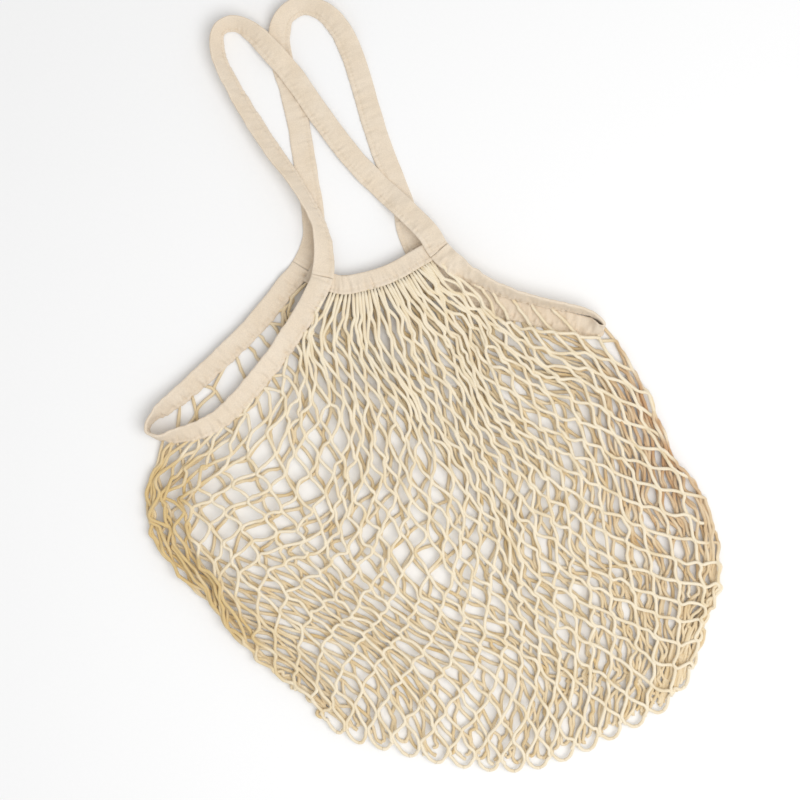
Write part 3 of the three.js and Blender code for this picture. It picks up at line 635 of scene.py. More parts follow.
class NetCords:
    """All of the net's strands. Strand k zigzags down between half columns k and k + 1. It touches its
    left neighbour where its number plus the row is even, and the right one where it is odd. It starts
    on a binding and ends at the bottom in a loop with the strand that it touches there. At the bag's
    outline it passes from the front wall to the back."""

    # The bottom's corners: the row where they start, the rows over which they round, the right one's
    # width in half meshes, and each of the back's as a share of its width
    CORNER_ROW, CORNER_ROWS = 18, 7
    RIGHT_CORNER, BACK_CORNER = 5, 0.15
    # The back is drawn in near the bottom: its sides by half meshes, its ends by rows and their drift
    SIDE_TUCK = 0.7
    END_TUCK, TUCK_DRIFT = 0.95, 0.2
    # The front's last row is raised by the first of these, and its other rows by the second, in rows
    LAST_RAISE, RAISE = 0.35, 0.1
    # How crowded the back's left side is, next to its right side
    LEFT_CROWD = 0.4
    # How loose the front's bunch is, and the share of it that is gone at the bottom
    EDGE_LOOSE, EDGE_GONE = 0.5, 0.8
    # Soft drifts in plan, of the whole net and of the back wall alone: height and length in metres
    DRIFT, DRIFT_LENGTH = 1.5 * MM, 60 * MM
    BACK_DRIFT, BACK_DRIFT_LENGTH = 4 * MM, 110 * MM
    # The tangle's lengths across in strands and down in rows
    TANGLE_STRANDS, TANGLE_ROWS = 2.3, 2.6
    # A bottom loop's half width as a share of a strand's space, and its two bends from its lowest
    # point, out and up, as shares of that half width
    LOOP_SHARE = 0.72
    LOOP_BENDS = ((1, 0.75), (0.55, 0.2))
    # The slack of a bar, its shortest and longest length as shares of a plain bar, and the shortest
    # first stretch of a strand
    BAR_SLACK = 1.02
    BAR_LEAST, BAR_MOST = 0.72, 1.1
    SHORTEST_LEAD = 3 * MM
    # How far each pass eases a free stretch towards its chord, and the bow's share at the joints
    EASE = 0.12
    JOINT_BOW = 0.3
    # The kinks' middle and half size in the view, right and up, and their length
    KINK_MIDDLE, KINK_SIZE = (60 * MM, 75 * MM), (50 * MM, 40 * MM)
    KINK_LENGTH = 18 * MM

    def __init__(self, tapes, settings):
        self.settings = settings
        self.tapes = tapes
        self.map = NetMap()
        self.k = FIRST_STRAND + np.arange(STRANDS)
        self.lay_starts()
        self.lay_rows()
        self.lay_targets()
        self.settle()
        self.lift()

    def leg_point(self, wall, side, share):
        """A point where the net's open edge lies on a slit's binding, at a share of the leg."""
        low, high = NET_LEGS[wall][side]
        return self.tapes[f"{side}_side_binding"].net_point(lerp(low, high, share), self.settings.hem_reach)

    def lay_starts(self):
        """Where each strand leaves its binding, how many rows down the slit that is, and its wall.
        Two strands that would touch one row higher leave it together."""
        middle = self.k + 0.5
        self.on_back = middle > RIGHT_TIP
        self.start_row = SLIT_ROWS * table_at(LEG_SHARES, middle)
        self.first = np.floor(self.start_row).astype(int) + 1
        joint = self.k + (self.k + self.first - 1) % 2
        share = table_at(LEG_SHARES, joint)
        side = np.where(joint == self.k, 0.5, -0.5) * self.settings.joint_gap
        self.starts = np.zeros((STRANDS, 3))
        for wall, chosen in (("front", ~self.on_back), ("back", self.on_back)):
            first, last = MOUTHS[wall]
            across = np.clip((joint - first) / (last - first), 0, 1)
            band = self.tapes[f"{wall}_mouth_binding"]
            run = np.linalg.norm(band.at(band.length)[0] - band.at(0)[0])
            across = lerp(BAND_END, 1 - BAND_END, across) + side * np.sign(last - first) / run
            points = band.net_point(np.clip(across, 0, 1), self.settings.hem_reach)
            on_left = (middle < MOUTHS["front"][0]) | (middle > MOUTHS["back"][0])
            for name, here in (("left", on_left), ("right", ~on_left)):
                here = here & (table_at(LEG_SHARES, middle) > 0)
                points = np.where(here[:, None], self.leg_point(wall, name, share), points)
            self.starts[chosen] = points[chosen]

    def lay_rows(self):
        """Lists each strand's rows down to the last, padded to the longest, and who touches whom. Each
        pair is given as two strands, with the rows' places in their lists."""
        self.count = LAST_ROW + 1 - self.first
        q = np.arange(self.count.max())[None, :]
        self.valid = q < self.count[:, None]
        self.row = self.first[:, None] + np.minimum(q, self.count[:, None] - 1)
        self.column = self.k[:, None] + (self.k[:, None] + self.row) % 2
        past_right = self.column > table_at(FRONT_RIGHT, self.row)
        past_left = self.column < table_at(FRONT_LEFT, self.row)
        self.back = self.on_back[:, None] | ((past_right | past_left) & (self.row > SLIT_ROWS))
        s, q = np.nonzero(self.valid & ((self.k[:, None] + self.row) % 2 == 1) & (self.row < LAST_ROW))
        partner = (s + 1) % STRANDS
        inside = self.row[s, q] >= self.first[partner]
        s, q, partner = s[inside], q[inside], partner[inside]
        self.pair_a, self.pair_b = (s, q), (partner, self.row[s, q] - self.first[partner])

    def rounded(self, row, left_part, right_part):
        """Rows moved up near the bottom's corners, by up to corner rows at the very sides."""
        raised = self.settings.corner * smoothstep((row - self.CORNER_ROW) / self.CORNER_ROWS)
        return row - raised * (left_part ** 2 + right_part ** 2)

    def front_place(self, column, row):
        """The front wall's places. The strands by its left fold are bunched: those up to strip half
        meshes inside the outline share that strip with all that lie beyond it."""
        edge, fold, right = table_at(LEFT_EDGE, row), table_at(FRONT_LEFT, row), table_at(FRONT_RIGHT, row)
        inside = edge + self.settings.strip
        squeezed = edge + self.settings.strip * (column - fold) / (inside - fold)
        left_part = np.clip((inside - column) / (inside - fold), 0, 1)
        right_part = np.clip(1 - (right - column) / self.RIGHT_CORNER, 0, 1)
        lain = np.where(column < inside, squeezed, column)
        return self.map.at(lain, self.rounded(row, left_part, right_part))

    def back_share(self, column, row):
        """How far across the back a strand lies, from 0 at its right side to 1 at its left: the u at
        which even u plus the bunched strands gathered before u is the strand's count from the right.
        They gather towards the right by 1 - exp(-u / w), and towards the left by its mirror image. u is
        found by halving its range over and over."""
        first, total = table_at(BACK_RIGHT, row), table_at(BACK_LEFT, row) - table_at(BACK_RIGHT, row)
        by_right, by_left = table_at(BUNCHED_RIGHT, row), table_at(BUNCHED_LEFT, row)
        overlap, halvings = 20, 24
        passed = np.mod(column - first + overlap, STRANDS) - overlap
        width = self.settings.bunch_width
        low, high = np.zeros_like(total), np.ones_like(total)
        for _ in range(halvings):
            u = (low + high) / 2
            near_right, near_left = ((1 - np.exp(-v / width)) / (1 - math.exp(-1 / width))
                                     for v in (u, 1 - u))
            reached = (total - by_right - by_left) * u + by_right * near_right + by_left * (1 - near_left)
            low, high = np.where(reached < passed, u, low), np.where(reached < passed, high, u)
        return u

    def back_place(self, share, row):
        """The back wall's places: the front's at the mirrored share across. Above the slits' tips they
        move over from the front's edges to the back's."""
        tucked = self.SIDE_TUCK * smoothstep((row - 19) / 4)
        right, left = table_at(FRONT_RIGHT, row) - tucked, table_at(LEFT_EDGE, row) + tucked
        parts = (np.clip(1 - from_side / self.BACK_CORNER, 0, 1) for from_side in (1 - share, share))
        behind = self.map.at(lerp(right, left, share), self.rounded(row, *parts))
        down = np.clip(row / SLIT_ROWS, 0, 1)
        fade = 1 - smoothstep((row - SLIT_ROWS + 1.5) / 1.5)
        for side, weight in (("right", 1 - share), ("left", share)):
            shift = (self.leg_point("back", side, down) - self.leg_point("front", side, down))[..., :2]
            behind = behind + shift * (weight * fade)[..., None]
        return behind

    def place(self, column, row):
        """The plan place of each touching place, in whichever wall it lies."""
        front = self.front_place(column, row)
        behind = self.back_place(self.back_share(column, row), row)
        return np.where(self.back[..., None], behind, front)

    def lay_bunches(self, column, row, share):
        """How bunched each place is, from 0 up: the back's towards its sides, and the front's in the
        strip by the left outline."""
        width = self.settings.bunch_width
        crowd = np.exp(-share / width) + self.LEFT_CROWD * np.exp(-(1 - share) / width)
        self.bunch = np.where(self.back, crowd, 0) * smoothstep((row - 4) / 5)
        strip = table_at(LEFT_EDGE, row) + self.settings.strip
        edge = np.where(self.back, 0, smoothstep((strip + 1 - column) / 2))
        fade = 1 - self.EDGE_GONE * smoothstep((row - 17) / 5)
        self.edge_bunch = edge * smoothstep((row - 7) / 3) * fade

    def drift(self, place, row, share):
        """How far each place strays: by soft drifts in plan and, where cords are bunched, by a tangle
        from strand to strand. It fades out at both ends of a strand and at the back's sides."""
        loose = np.where(self.back, self.bunch, self.EDGE_LOOSE * self.edge_bunch)
        x, y = place[..., 0], place[..., 1]
        whole = self.DRIFT * noise_pair(26, x / self.DRIFT_LENGTH, y / self.DRIFT_LENGTH)
        behind = self.BACK_DRIFT * noise_pair(31, x / self.BACK_DRIFT_LENGTH, y / self.BACK_DRIFT_LENGTH)
        tangle = noise_pair(51, self.k[:, None] / self.TANGLE_STRANDS + 0 * row, row / self.TANGLE_ROWS)
        stray = whole + np.where(self.back[..., None], behind, 0)
        stray = stray + tangle * (self.settings.tangle * loose)[..., None]
        inner = smoothstep(np.minimum(row - self.start_row[:, None], LAST_ROW - row) / 3)
        sides = np.minimum(share, 1 - share)
        keep = np.where(self.back, 0.25 + 0.75 * smoothstep(sides / 0.06), 1.0)
        return stray * (inner * keep)[..., None]

    def lay_targets(self):
        """Where each point would like to lie. A joint is two points a touch apart, along the strand
        and beside its place, and a bar's middle lies between joints. At the bottom two strands end in
        one round loop."""
        settings = self.settings
        column, last_row = self.column.astype(float), self.row == LAST_ROW
        uneven = self.END_TUCK + self.TUCK_DRIFT * smooth_noise(37, self.k[:, None] / 5 + 0 * self.row)
        tuck = smoothstep((self.row - 20) / 5) * uneven
        row = self.row - np.where(self.back, tuck, np.where(last_row, self.LAST_RAISE, self.RAISE))
        place = self.place(column, row)
        ahead = unit(self.place(column, row + 0.4) - self.place(column, row - 0.4))
        across = (self.place(column + 0.4, row) - self.place(column - 0.4, row)) / 0.8
        beside = unit(across)
        share = self.back_share(column, row)
        self.lay_bunches(column, row, share)
        place = place + self.drift(place, row, share)
        side = np.where(self.column == self.k[:, None], 0.5, -0.5)[..., None]
        half = settings.touch / 2
        self.end = 3 * self.count
        x = np.zeros((STRANDS, 1 + 3 * self.valid.shape[1], 2))
        x[:, 1::3] = place + beside * side * settings.joint_gap - ahead * half
        x[:, 2::3] = place + beside * side * settings.joint_gap + ahead * half
        x[:, 3:-1:3] = (x[:, 2:-3:3] + x[:, 4::3]) / 2
        x[:, 0] = self.starts[:, :2]
        strands, last = np.arange(STRANDS), self.count - 1
        bottom, down, out = place[strands, last], ahead[strands, last], (beside * side * 2)[strands, last]
        space = np.linalg.norm(across[strands, last], axis=-1)
        half_loop = np.minimum(settings.loop, self.LOOP_SHARE * space)[:, None]
        for from_end, (sideways, up) in zip((2, 1), self.LOOP_BENDS):
            x[strands, self.end - from_end] = bottom + (sideways * out - up * down) * half_loop
        x[strands, self.end] = bottom
        self.x, self.target, self.joint = x, x.copy(), place

    def rest_lengths(self):
        """The cord length from each point to the next. A bar has its joints' distance with some slack,
        held near a plain bar's, and its first and last ones have what their ends leave them."""
        settings = self.settings
        reach = np.linalg.norm(np.diff(self.joint, axis=1), axis=-1)
        bars = np.clip(reach * self.BAR_SLACK, settings.bar * self.BAR_LEAST, settings.bar * self.BAR_MOST)
        rest = np.full((STRANDS, self.x.shape[1] - 1), settings.touch)
        rest[:, 2:-1:3] = rest[:, 3::3] = (bars - settings.touch) / 2
        lead = (self.first - self.start_row) * settings.bar - settings.touch / 2
        rest[:, 0] = np.maximum(lead, self.SHORTEST_LEAD)
        strands = np.arange(STRANDS)
        bar_ends = self.target[strands, self.end - 2], self.target[strands, self.end - 4]
        last_bar = np.linalg.norm(bar_ends[0] - bar_ends[1], axis=-1)
        rest[strands, self.end - 4] = rest[strands, self.end - 3] = last_bar / 2
        return rest

    def pull_cords(self, parity, rest, free, both):
        """Pulls every second pair of neighbouring points to its cord length. Held points stay put."""
        a, b = self.x[:, parity:-1:2], self.x[:, parity + 1::2]
        pairs = min(a.shape[1], b.shape[1])
        a, b = a[:, :pairs], b[:, :pairs]
        span = b - a
        distance = np.maximum(np.linalg.norm(span, axis=-1), 1e-6)
        wa, wb = free[:, parity:-1:2][:, :pairs], free[:, parity + 1::2][:, :pairs]
        wanted = rest[:, parity::2][:, :pairs]
        share = np.where(both[:, parity::2][:, :pairs], (distance - wanted) / distance, 0)
        share = share / np.maximum(wa + wb, 1)
        a += span * (share * wa)[..., None]
        b -= span * (share * wb)[..., None]

    def join_cords(self, corner):
        """Moves both strands of each joint, at its first or second point, to one joint gap apart."""
        (sa, qa), (sb, qb) = self.pair_a, self.pair_b
        ia, ib = 3 * qa + corner, 3 * qb + corner
        span = self.x[sb, ib] - self.x[sa, ia]
        distance = np.maximum(np.linalg.norm(span, axis=-1), 1e-6)
        move = span * ((distance - self.settings.joint_gap) / distance * 0.5)[:, None]
        self.x[sa, ia] += move
        self.x[sb, ib] -= move

    def settle(self):
        """Relaxes the strands in plan. Each pass pulls neighbouring points to their cord length, then
        touching strands side by side, eases each free stretch towards its chord, and draws the
        touching places a little towards their own. The ends stay put. Then each free stretch gets a
        small bow of its own, and the cords by the mouth's right end get kinks."""
        settings = self.settings
        x, target = self.x, self.target
        index = np.arange(x.shape[1])[None, :]
        live = index <= self.end[:, None]
        held = (index == 0) | (index >= self.end[:, None] - 2)
        free = np.where(held, 0.0, 1.0)
        rest = self.rest_lengths()
        both = live[:, 1:] & live[:, :-1]
        is_free_stretch = (index % 3 == 0) & live & ~held
        touching = ((index % 3 != 0) & live & ~held)[..., None]
        for _ in range(settings.passes):
            for parity in (0, 1):
                self.pull_cords(parity, rest, free, both)
            for corner in (1, 2):
                self.join_cords(corner)
            chord = np.zeros_like(x)
            chord[:, 3:-1:3] = (x[:, 2:-3:3] + x[:, 4::3]) / 2 - x[:, 3:-1:3]
            x += np.where(is_free_stretch[..., None], self.EASE * chord, 0)
            x += np.where(touching, settings.pull * (target - x), 0)
        chance = np.random.default_rng(11)
        sway = np.where(is_free_stretch, settings.bow, np.where(held, 0, settings.bow * self.JOINT_BOW))
        x += chance.normal(size=x.shape) * sway[..., None]
        right, up = plan_to_view(x[..., 0], x[..., 1])
        near_root = bell_in_view(right, up, self.KINK_MIDDLE, self.KINK_SIZE)
        kinks = noise_pair(63, right / self.KINK_LENGTH, up / self.KINK_LENGTH)
        x += settings.kink * kinks * np.where(held, 0, near_root)[..., None]

    @staticmethod
    def per_point(values):
        """A value of each touching place for each of its three points, and the first for the start."""
        return np.concatenate([values[:, :1], np.repeat(values, 3, 1)], 1)

    def lift(self):
        """Gives every point its height. The back wall lies on the floor, and piles up where it is
        bunched. The front wall lies above it in soft waves. Both ease to their binding's height at the
        start, and to the fold's height at the bag's outline and bottom."""
        x, settings = self.x, self.settings
        chance = np.random.default_rng(5)
        index = np.arange(x.shape[1])[None, :]
        bunch, edge_bunch = self.per_point(np.minimum(self.bunch, 1)), self.per_point(self.edge_bunch)
        wave = smooth_noise(41, x[..., 0] / 0.10, x[..., 1] / 0.10)
        small = smooth_noise(43, x[..., 0] / 0.022, x[..., 1] / 0.022)
        strand = chance.normal(size=(STRANDS, 1))
        jitter = chance.normal(size=x.shape[:2])
        pile = smooth_noise(47, self.k[:, None] * 0.71 + 0 * index, index / 17)
        top = settings.front_height + settings.front_waves * wave + 0.7 * MM * small
        top = top + 0.4 * MM * strand + 0.35 * MM * jitter + edge_bunch * 1.8 * MM * pile
        low = settings.cord / 2 + 0.3 * MM + np.abs(0.7 * MM * small + 0.5 * MM * strand + 0.25 * MM * jitter)
        low = low + bunch * settings.pile_height * (0.5 + 0.4 * pile)
        behind = self.per_point(self.back.astype(float))
        window = np.array([1, 2, 3, 2, 1]) / 9
        padded = np.pad(behind, ((0, 0), (2, 2)), mode="edge")
        eased = sum(w * padded[:, n:n + behind.shape[1]] for n, w in enumerate(window))
        height = lerp(top, low, eased)
        height = lerp(self.starts[:, 2:3], height, smoothstep(index / 9))
        bottom = lerp(0.55 * settings.front_height, settings.cord / 2 + 1 * MM, behind)
        height = lerp(bottom, height, smoothstep((self.end[:, None] - index) / 8))
        height = np.maximum(height, settings.cord / 2 + 0.1 * MM)
        # How far back and how bunched each point lies: these set where the cords get painted shade
        self.depth = np.stack([eased, bunch, edge_bunch], -1)
        self.points = np.concatenate([x, height[..., None]], -1)


def refine(values, steps):
    """Uniform Catmull-Rom through each strand's points: half of 2B + (C-A)t + (2A-5B+4C-D)t squared
    + (3B-A-3C+D)t cubed, at even steps of t."""
    before, after = 2 * values[:, :1] - values[:, 1:2], 2 * values[:, -1:] - values[:, -2:-1]
    ends = np.concatenate([before, values, after], 1)
    a, b, c, d = ends[:, :-3], ends[:, 1:-2], ends[:, 2:-1], ends[:, 3:]
    t = (np.arange(steps) / steps)[None, None, :, None]
    a, b, c, d = (v[:, :, None, :] for v in (a, b, c, d))
    squared, cubed = (2 * a - 5 * b + 4 * c - d) * t ** 2, (3 * b - a - 3 * c + d) * t ** 3
    curve = 0.5 * (2 * b + (c - a) * t + squared + cubed)
    return np.concatenate([curve.reshape(len(values), -1, values.shape[-1]), values[:, -1:]], 1)


# A cord's small swellings, as a share of its radius and their length. It is thinner where it enters a
# binding: its share there, and the length over which it gets its full radius.
SWELLING, SWELLING_LENGTH = 0.07, 9 * MM
ENTRY_SHARE, ENTRY_LENGTH = 0.62, 5 * MM


def cord_piece(name, cords, members, settings):
    """The given strands as round cords: a ring of sides around each point of the refined line, of the
    cord's radius with small seeded swellings, thinner where it enters a binding. Returns the piece and
    the length of all its cords."""
    meshes = []
    total = 0
    length_sum = 0
    columns = settings.cord_sides
    around = np.linspace(0, 2 * math.pi, columns, endpoint=False)
    for s in members:
        keep = slice(0, cords.end[s] + 1)
        values = np.concatenate([cords.points, cords.depth], -1)[s:s + 1, keep]
        line, depth = np.split(refine(values, settings.cord_steps)[0], [3], axis=1)
        ahead = unit(np.gradient(line, axis=0))
        side = unit(np.cross(ahead, (0, 0, 1.0)))
        over = np.cross(side, ahead)
        reach = np.concatenate([[0], np.cumsum(np.linalg.norm(np.diff(line, axis=0), axis=1))])
        radius = settings.cord / 2 * (1 + SWELLING * smooth_noise(61 + s, reach / SWELLING_LENGTH))
        radius = radius * lerp(ENTRY_SHARE, 1, smoothstep(reach / ENTRY_LENGTH))
        ring = np.cos(around)[None, :, None] * side[:, None] + np.sin(around)[None, :, None] * over[:, None]
        points = line[:, None] + ring * radius[:, None, None]
        points[..., 2] = np.maximum(points[..., 2], CORD_FLOOR_GAP)
        rows = len(line)
        ends = np.arange(columns) + total
        right, up = plan_to_view(line[:, 0], line[:, 1])
        ochre_and_shade, brown_shade = strand_tints(right, up, cords.k[s], reach, np.clip(depth, 0, 1))
        meshes.append((points.reshape(-1, 3), loft_faces(rows, columns)[:, ::-1] + total,
                       loft_uv(reach, np.linspace(0, 1, columns + 1))[:, ::-1],
                       (ends, (ends + (rows - 1) * columns)[::-1]),
                       np.repeat(ochre_and_shade, columns), np.repeat(brown_shade, columns)))
        total += rows * columns
        length_sum += reach[-1]
    points, faces, uv, caps, ochre_and_shade, brown_shade = zip(*meshes)
    made = build_mesh(name, np.vstack(points), np.vstack(faces), np.concatenate(uv),
                      [cap for pair in caps for cap in pair],
                      {"ochre_and_shade": np.concatenate(ochre_and_shade), "brown_shade": np.concatenate(brown_shade)})
    return made, length_sum


# Where the back wall's bunched cords get the most painted brown shade, by the view's right side: the middle
# of that place and its half size, right and up
BROWN_SHADE_MIDDLE, BROWN_SHADE_SIZE = (235 * MM, -30 * MM), (55 * MM, 120 * MM)
# How ochre a cord is everywhere, and what the left bunch, the back wall and the drift add. The back wall's
# share is painted shade.
OCHRE, OCHRE_BUNCH, OCHRE_BACK_SHADE, OCHRE_DRIFT = 0.08, 0.95, 0.36, 0.15
# How much painted brown shade a cord of the back wall gets, what the right bunch adds, and the drift of both
BROWN_SHADE, BROWN_SHADE_BUNCH, BROWN_SHADE_EVEN, BROWN_SHADE_DRIFT = 0.04, 0.9, 0.9, 0.3
TINT_LENGTH = 50 * MM


def strand_tints(right, up, strand, reach, depth):
    """How ochre and how brown a cord is, from 0 to 1, with a seeded drift. Ochre is most in the left
    side's bunch and in the back wall, where it is painted shade. Brown is painted shade on the back
    wall alone, most in its bunch below the right side. depth holds, for each place, how far back it
    is and how bunched each wall is there."""
    behind, bunch, edge = depth.T
    right_side = bell_in_view(right, up, BROWN_SHADE_MIDDLE, BROWN_SHADE_SIZE)
    drift = smooth_noise(71 + strand % 9, reach / TINT_LENGTH)
    # The back wall's share of the ochre is painted shade
    ochre_and_shade = OCHRE + OCHRE_BUNCH * edge + OCHRE_BACK_SHADE * behind + OCHRE_DRIFT * drift
    # Brown is painted shade, on the back wall's cords only
    brown_shade = behind * (BROWN_SHADE + BROWN_SHADE_BUNCH * bunch * right_side) * (BROWN_SHADE_EVEN + BROWN_SHADE_DRIFT * drift)
    return np.clip(ochre_and_shade, 0, 1), np.clip(brown_shade, 0, 1)


def add_node(tree, kind, inputs=None, **settings):
    """Adds a node, sets its options, and gives its inputs values or links from other nodes."""
    made = tree.nodes.new(kind)
    for option, value in settings.items():
        setattr(made, option, value)
    for socket, value in (inputs or {}).items():
        if isinstance(value, bpy.types.NodeSocket):
            tree.links.new(value, made.inputs[socket])
        else:
            made.inputs[socket].default_value = value
    return made


def blank_material(name):
    """A material that holds only its output node."""
    made = bpy.data.materials.new(name)
    made.use_nodes = True
    made.node_tree.nodes.clear()
    return made, made.node_tree


def math_node(tree, operation, first, second=0.0):
    """The result of one step of arithmetic on values or links."""
    return add_node(tree, "ShaderNodeMath", {0: first, 1: second}, operation=operation).outputs[0]


def mixed(tree, factor, first, second, blend="MIX"):
    """A colour mixed from two, by a factor."""
    inputs = {0: factor, 6: first, 7: second}
    return add_node(tree, "ShaderNodeMix", inputs, data_type="RGBA", blend_type=blend).outputs[2]


def opaque(colour):
    """A colour of a settings group as red, green, blue and an alpha of one."""
    return (*colour, 1)


def finish_material(tree, colour, height, strength, distance, roughness, sheen):
    """Ends a cloth material: the colour and a bump go into a rough shader with a soft sheen."""
    bump = add_node(tree, "ShaderNodeBump", {"Height": height, "Strength": strength, "Distance": distance})
    shader = add_node(tree, "ShaderNodeBsdfPrincipled", {
        "Base Color": colour,
        "Roughness": roughness,
        "Specular IOR Level": 0.25,
        "Sheen Weight": sheen,
        "Sheen Roughness": 0.6,
        "Normal": bump.outputs[0],
    })
    add_node(tree, "ShaderNodeOutputMaterial", {"Surface": shader.outputs[0]})


# Sizes that the patterns' scales come from. They are guessed, because a pixel of the photograph is
# 0.9 mm and shows none of them. A plain weave repeats every two threads.
WEAVE_REPEAT = 0.9 * MM
BLOTCH_SIZE = 22.22 * MM
TAPE_FIBRE = 1.111 * MM
CORD_STITCH = 1.6 * MM
CORD_RIBS = 4
CORD_FIBRE = 0.909 * MM
THREAD_TWIST = 0.6667 * MM
PAPER_GRAIN = 3.333 * MM


def tape_cotton(settings):
    """Woven cotton tape: a fine weave by the tape's own UV in metres, soft blotches and fibre grain.
    It gives the eye a matt, faintly ribbed and slightly uneven cloth."""
    material, tree = blank_material("cotton_tape")
    uv = add_node(tree, "ShaderNodeUVMap", uv_map="UVMap").outputs[0]
    parts = add_node(tree, "ShaderNodeSeparateXYZ", {0: uv})
    warp, weft = (math_node(tree, "SINE", math_node(tree, "MULTIPLY", parts.outputs[n],
                                                    2 * math.pi / WEAVE_REPEAT)) for n in (0, 1))
    weave = math_node(tree, "MULTIPLY", warp, weft)
    place = add_node(tree, "ShaderNodeTexCoord").outputs["Object"]
    blotch = add_node(tree, "ShaderNodeTexNoise", {"Vector": place, "Scale": 1 / BLOTCH_SIZE, "Detail": 3.0})
    fibre = add_node(tree, "ShaderNodeTexNoise", {"Vector": place, "Scale": 1 / TAPE_FIBRE, "Detail": 2.0})
    warm = mixed(tree, blotch.outputs[0], opaque(settings.tape_colour), opaque(settings.tape_shade))
    grain = add_node(tree, "ShaderNodeMapRange", {0: fibre.outputs[0], 1: 0.3, 2: 0.7, 3: 0.93, 4: 1.04})
    colour = mixed(tree, 1.0, warm, grain.outputs[0], "MULTIPLY")
    height = math_node(tree, "ADD", math_node(tree, "MULTIPLY", weave, 0.5), fibre.outputs[0])
    finish_material(tree, colour, height, 0.35, 0.25 * MM, 0.92, 0.25)
    return material


def net_cotton(settings):
    """Knitted cotton cord: chevrons along the cord's UV, and tints from cream to ochre and brown. The
    brown, the back wall's ochre and the darker grooves of the chevrons are painted shade. It gives the
    eye a soft, matt and finely ribbed cord."""
    material, tree = blank_material("cotton_cord")
    uv = add_node(tree, "ShaderNodeUVMap", uv_map="UVMap").outputs[0]
    parts = add_node(tree, "ShaderNodeSeparateXYZ", {0: uv})
    slope = math_node(tree, "PINGPONG", math_node(tree, "MULTIPLY", parts.outputs[1], CORD_RIBS), 1.0)
    along = math_node(tree, "MULTIPLY", parts.outputs[0], 1 / CORD_STITCH)
    turns = math_node(tree, "ADD", along, slope)
    stitch = math_node(tree, "SINE", math_node(tree, "MULTIPLY", turns, 2 * math.pi))
    # How ochre the cord is: on the back wall this is painted shade
    ochre_and_shade = add_node(tree, "ShaderNodeAttribute", attribute_name="ochre_and_shade").outputs["Fac"]
    # How much painted brown shade the cord gets
    brown_shade = add_node(tree, "ShaderNodeAttribute", attribute_name="brown_shade").outputs["Fac"]
    place = add_node(tree, "ShaderNodeTexCoord").outputs["Object"]
    fibre = add_node(tree, "ShaderNodeTexNoise", {"Vector": place, "Scale": 1 / CORD_FIBRE, "Detail": 2.0})
    cream = mixed(tree, ochre_and_shade, opaque(settings.cord_colour), opaque(settings.cord_ochre_and_shade))
    cream = mixed(tree, brown_shade, cream, opaque(settings.cord_brown_shade))
    # Painted shade: the colour is darker in the chevrons' grooves, where the bump is low
    groove_shade = add_node(tree, "ShaderNodeMapRange", {0: stitch, 1: -1.0, 2: 1.0, 3: 0.9, 4: 1.03})
    colour = mixed(tree, 1.0, cream, groove_shade.outputs[0], "MULTIPLY")
    height = math_node(tree, "ADD", math_node(tree, "MULTIPLY", stitch, 0.6), fibre.outputs[0])
    finish_material(tree, colour, height, 0.5, 0.3 * MM, 0.95, 0.3)
    return material


def thread_cotton(settings):
    """Spun cotton sewing thread with a fine twist, a little darker than the tape: partly its own tone,
    partly painted shade of the seam's groove.
    """
    material, tree = blank_material("cotton_thread")
    place = add_node(tree, "ShaderNodeTexCoord").outputs["Object"]
    twist = add_node(tree, "ShaderNodeTexNoise", {"Vector": place, "Scale": 1 / THREAD_TWIST, "Detail": 1.0})
    colour = mixed(tree, twist.outputs[0], opaque(settings.thread_colour), opaque(settings.tape_colour))
    finish_material(tree, colour, twist.outputs[0], 0.3, 0.1 * MM, 0.8, 0.2)
    return material


def floor_paper(settings):
    """Plain matt white paper with a barely seen grain."""
    material, tree = blank_material("white_floor")
    place = add_node(tree, "ShaderNodeTexCoord").outputs["Object"]
    grain = add_node(tree, "ShaderNodeTexNoise", {"Vector": place, "Scale": 1 / PAPER_GRAIN, "Detail": 2.0})
    pale = opaque(channel * 0.985 for channel in settings.floor_colour)
    colour = mixed(tree, grain.outputs[0], opaque(settings.floor_colour), pale)
    finish_material(tree, colour, grain.outputs[0], 0.05, 0.1 * MM, 0.7, 0.0)
    return material


def dress(piece, material, stands_for=()):
    """Gives a piece its material in a slot and its body, and hides the solids that it stands for."""
    piece.data.materials.append(material)
    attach(piece, "root")
    if stands_for:
        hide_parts(*stands_for)
    return piece


def length_property(name, description, millimetres):
    """A property that holds a length, with its default given in millimetres."""
    return FloatProperty(name=name, description=description, default=millimetres * MM, unit="LENGTH")


def colour_property(name, description, hex_code):
    """A property that holds a colour, with its default given as a hex sRGB code."""
    return FloatVectorProperty(name=name, description=description, subtype="COLOR",
                               default=linear(hex_code)[:3])


class BagTapeSettings(bpy.types.PropertyGroup):
    """Sizes and colours of the tapes and their seams"""
    tape_width: length_property("Tape width", "Width of the handles and bindings", 20)
    band_width: length_property("Mouth band width", "Width of the tape along the mouth", 17)
    handle_thickness: length_property("Handle thickness", "Both layers of a handle's tape", 2.2)
    binding_thickness: length_property("Binding thickness", "Tape folded over the net's edge", 3)
    seam_inset: length_property("Seam inset", "From the tape's net edge to its seam", 4.2)
    handle_pucker: length_property("Handle puckers", "Height of a handle's wrinkles", 0.4)
    binding_pucker: length_property("Binding puckers", "Height of a gathered binding's wrinkles", 0.95)
    stitch_length: length_property("Stitch length", "Length of one stitch", 2.4)
    stitch_gap: length_property("Stitch gap", "From one stitch to the next", 0.9)
    thread: length_property("Thread", "Diameter of the sewing thread", 0.6)
    step: length_property("Grid step", "Length of one step of the tape's surface", 1.0)
    tape_colour: colour_property("Tape colour", "Colour of the tape", "#e9dcca")
    tape_shade: colour_property("Tape blotches", "Darker colour in the tape", "#deccb3")
    # Darker than the tape: partly the thread's own tone, partly painted shade of the seam's groove
    thread_colour: colour_property("Thread colour", "Colour of the sewing thread", "#d3c1a4")


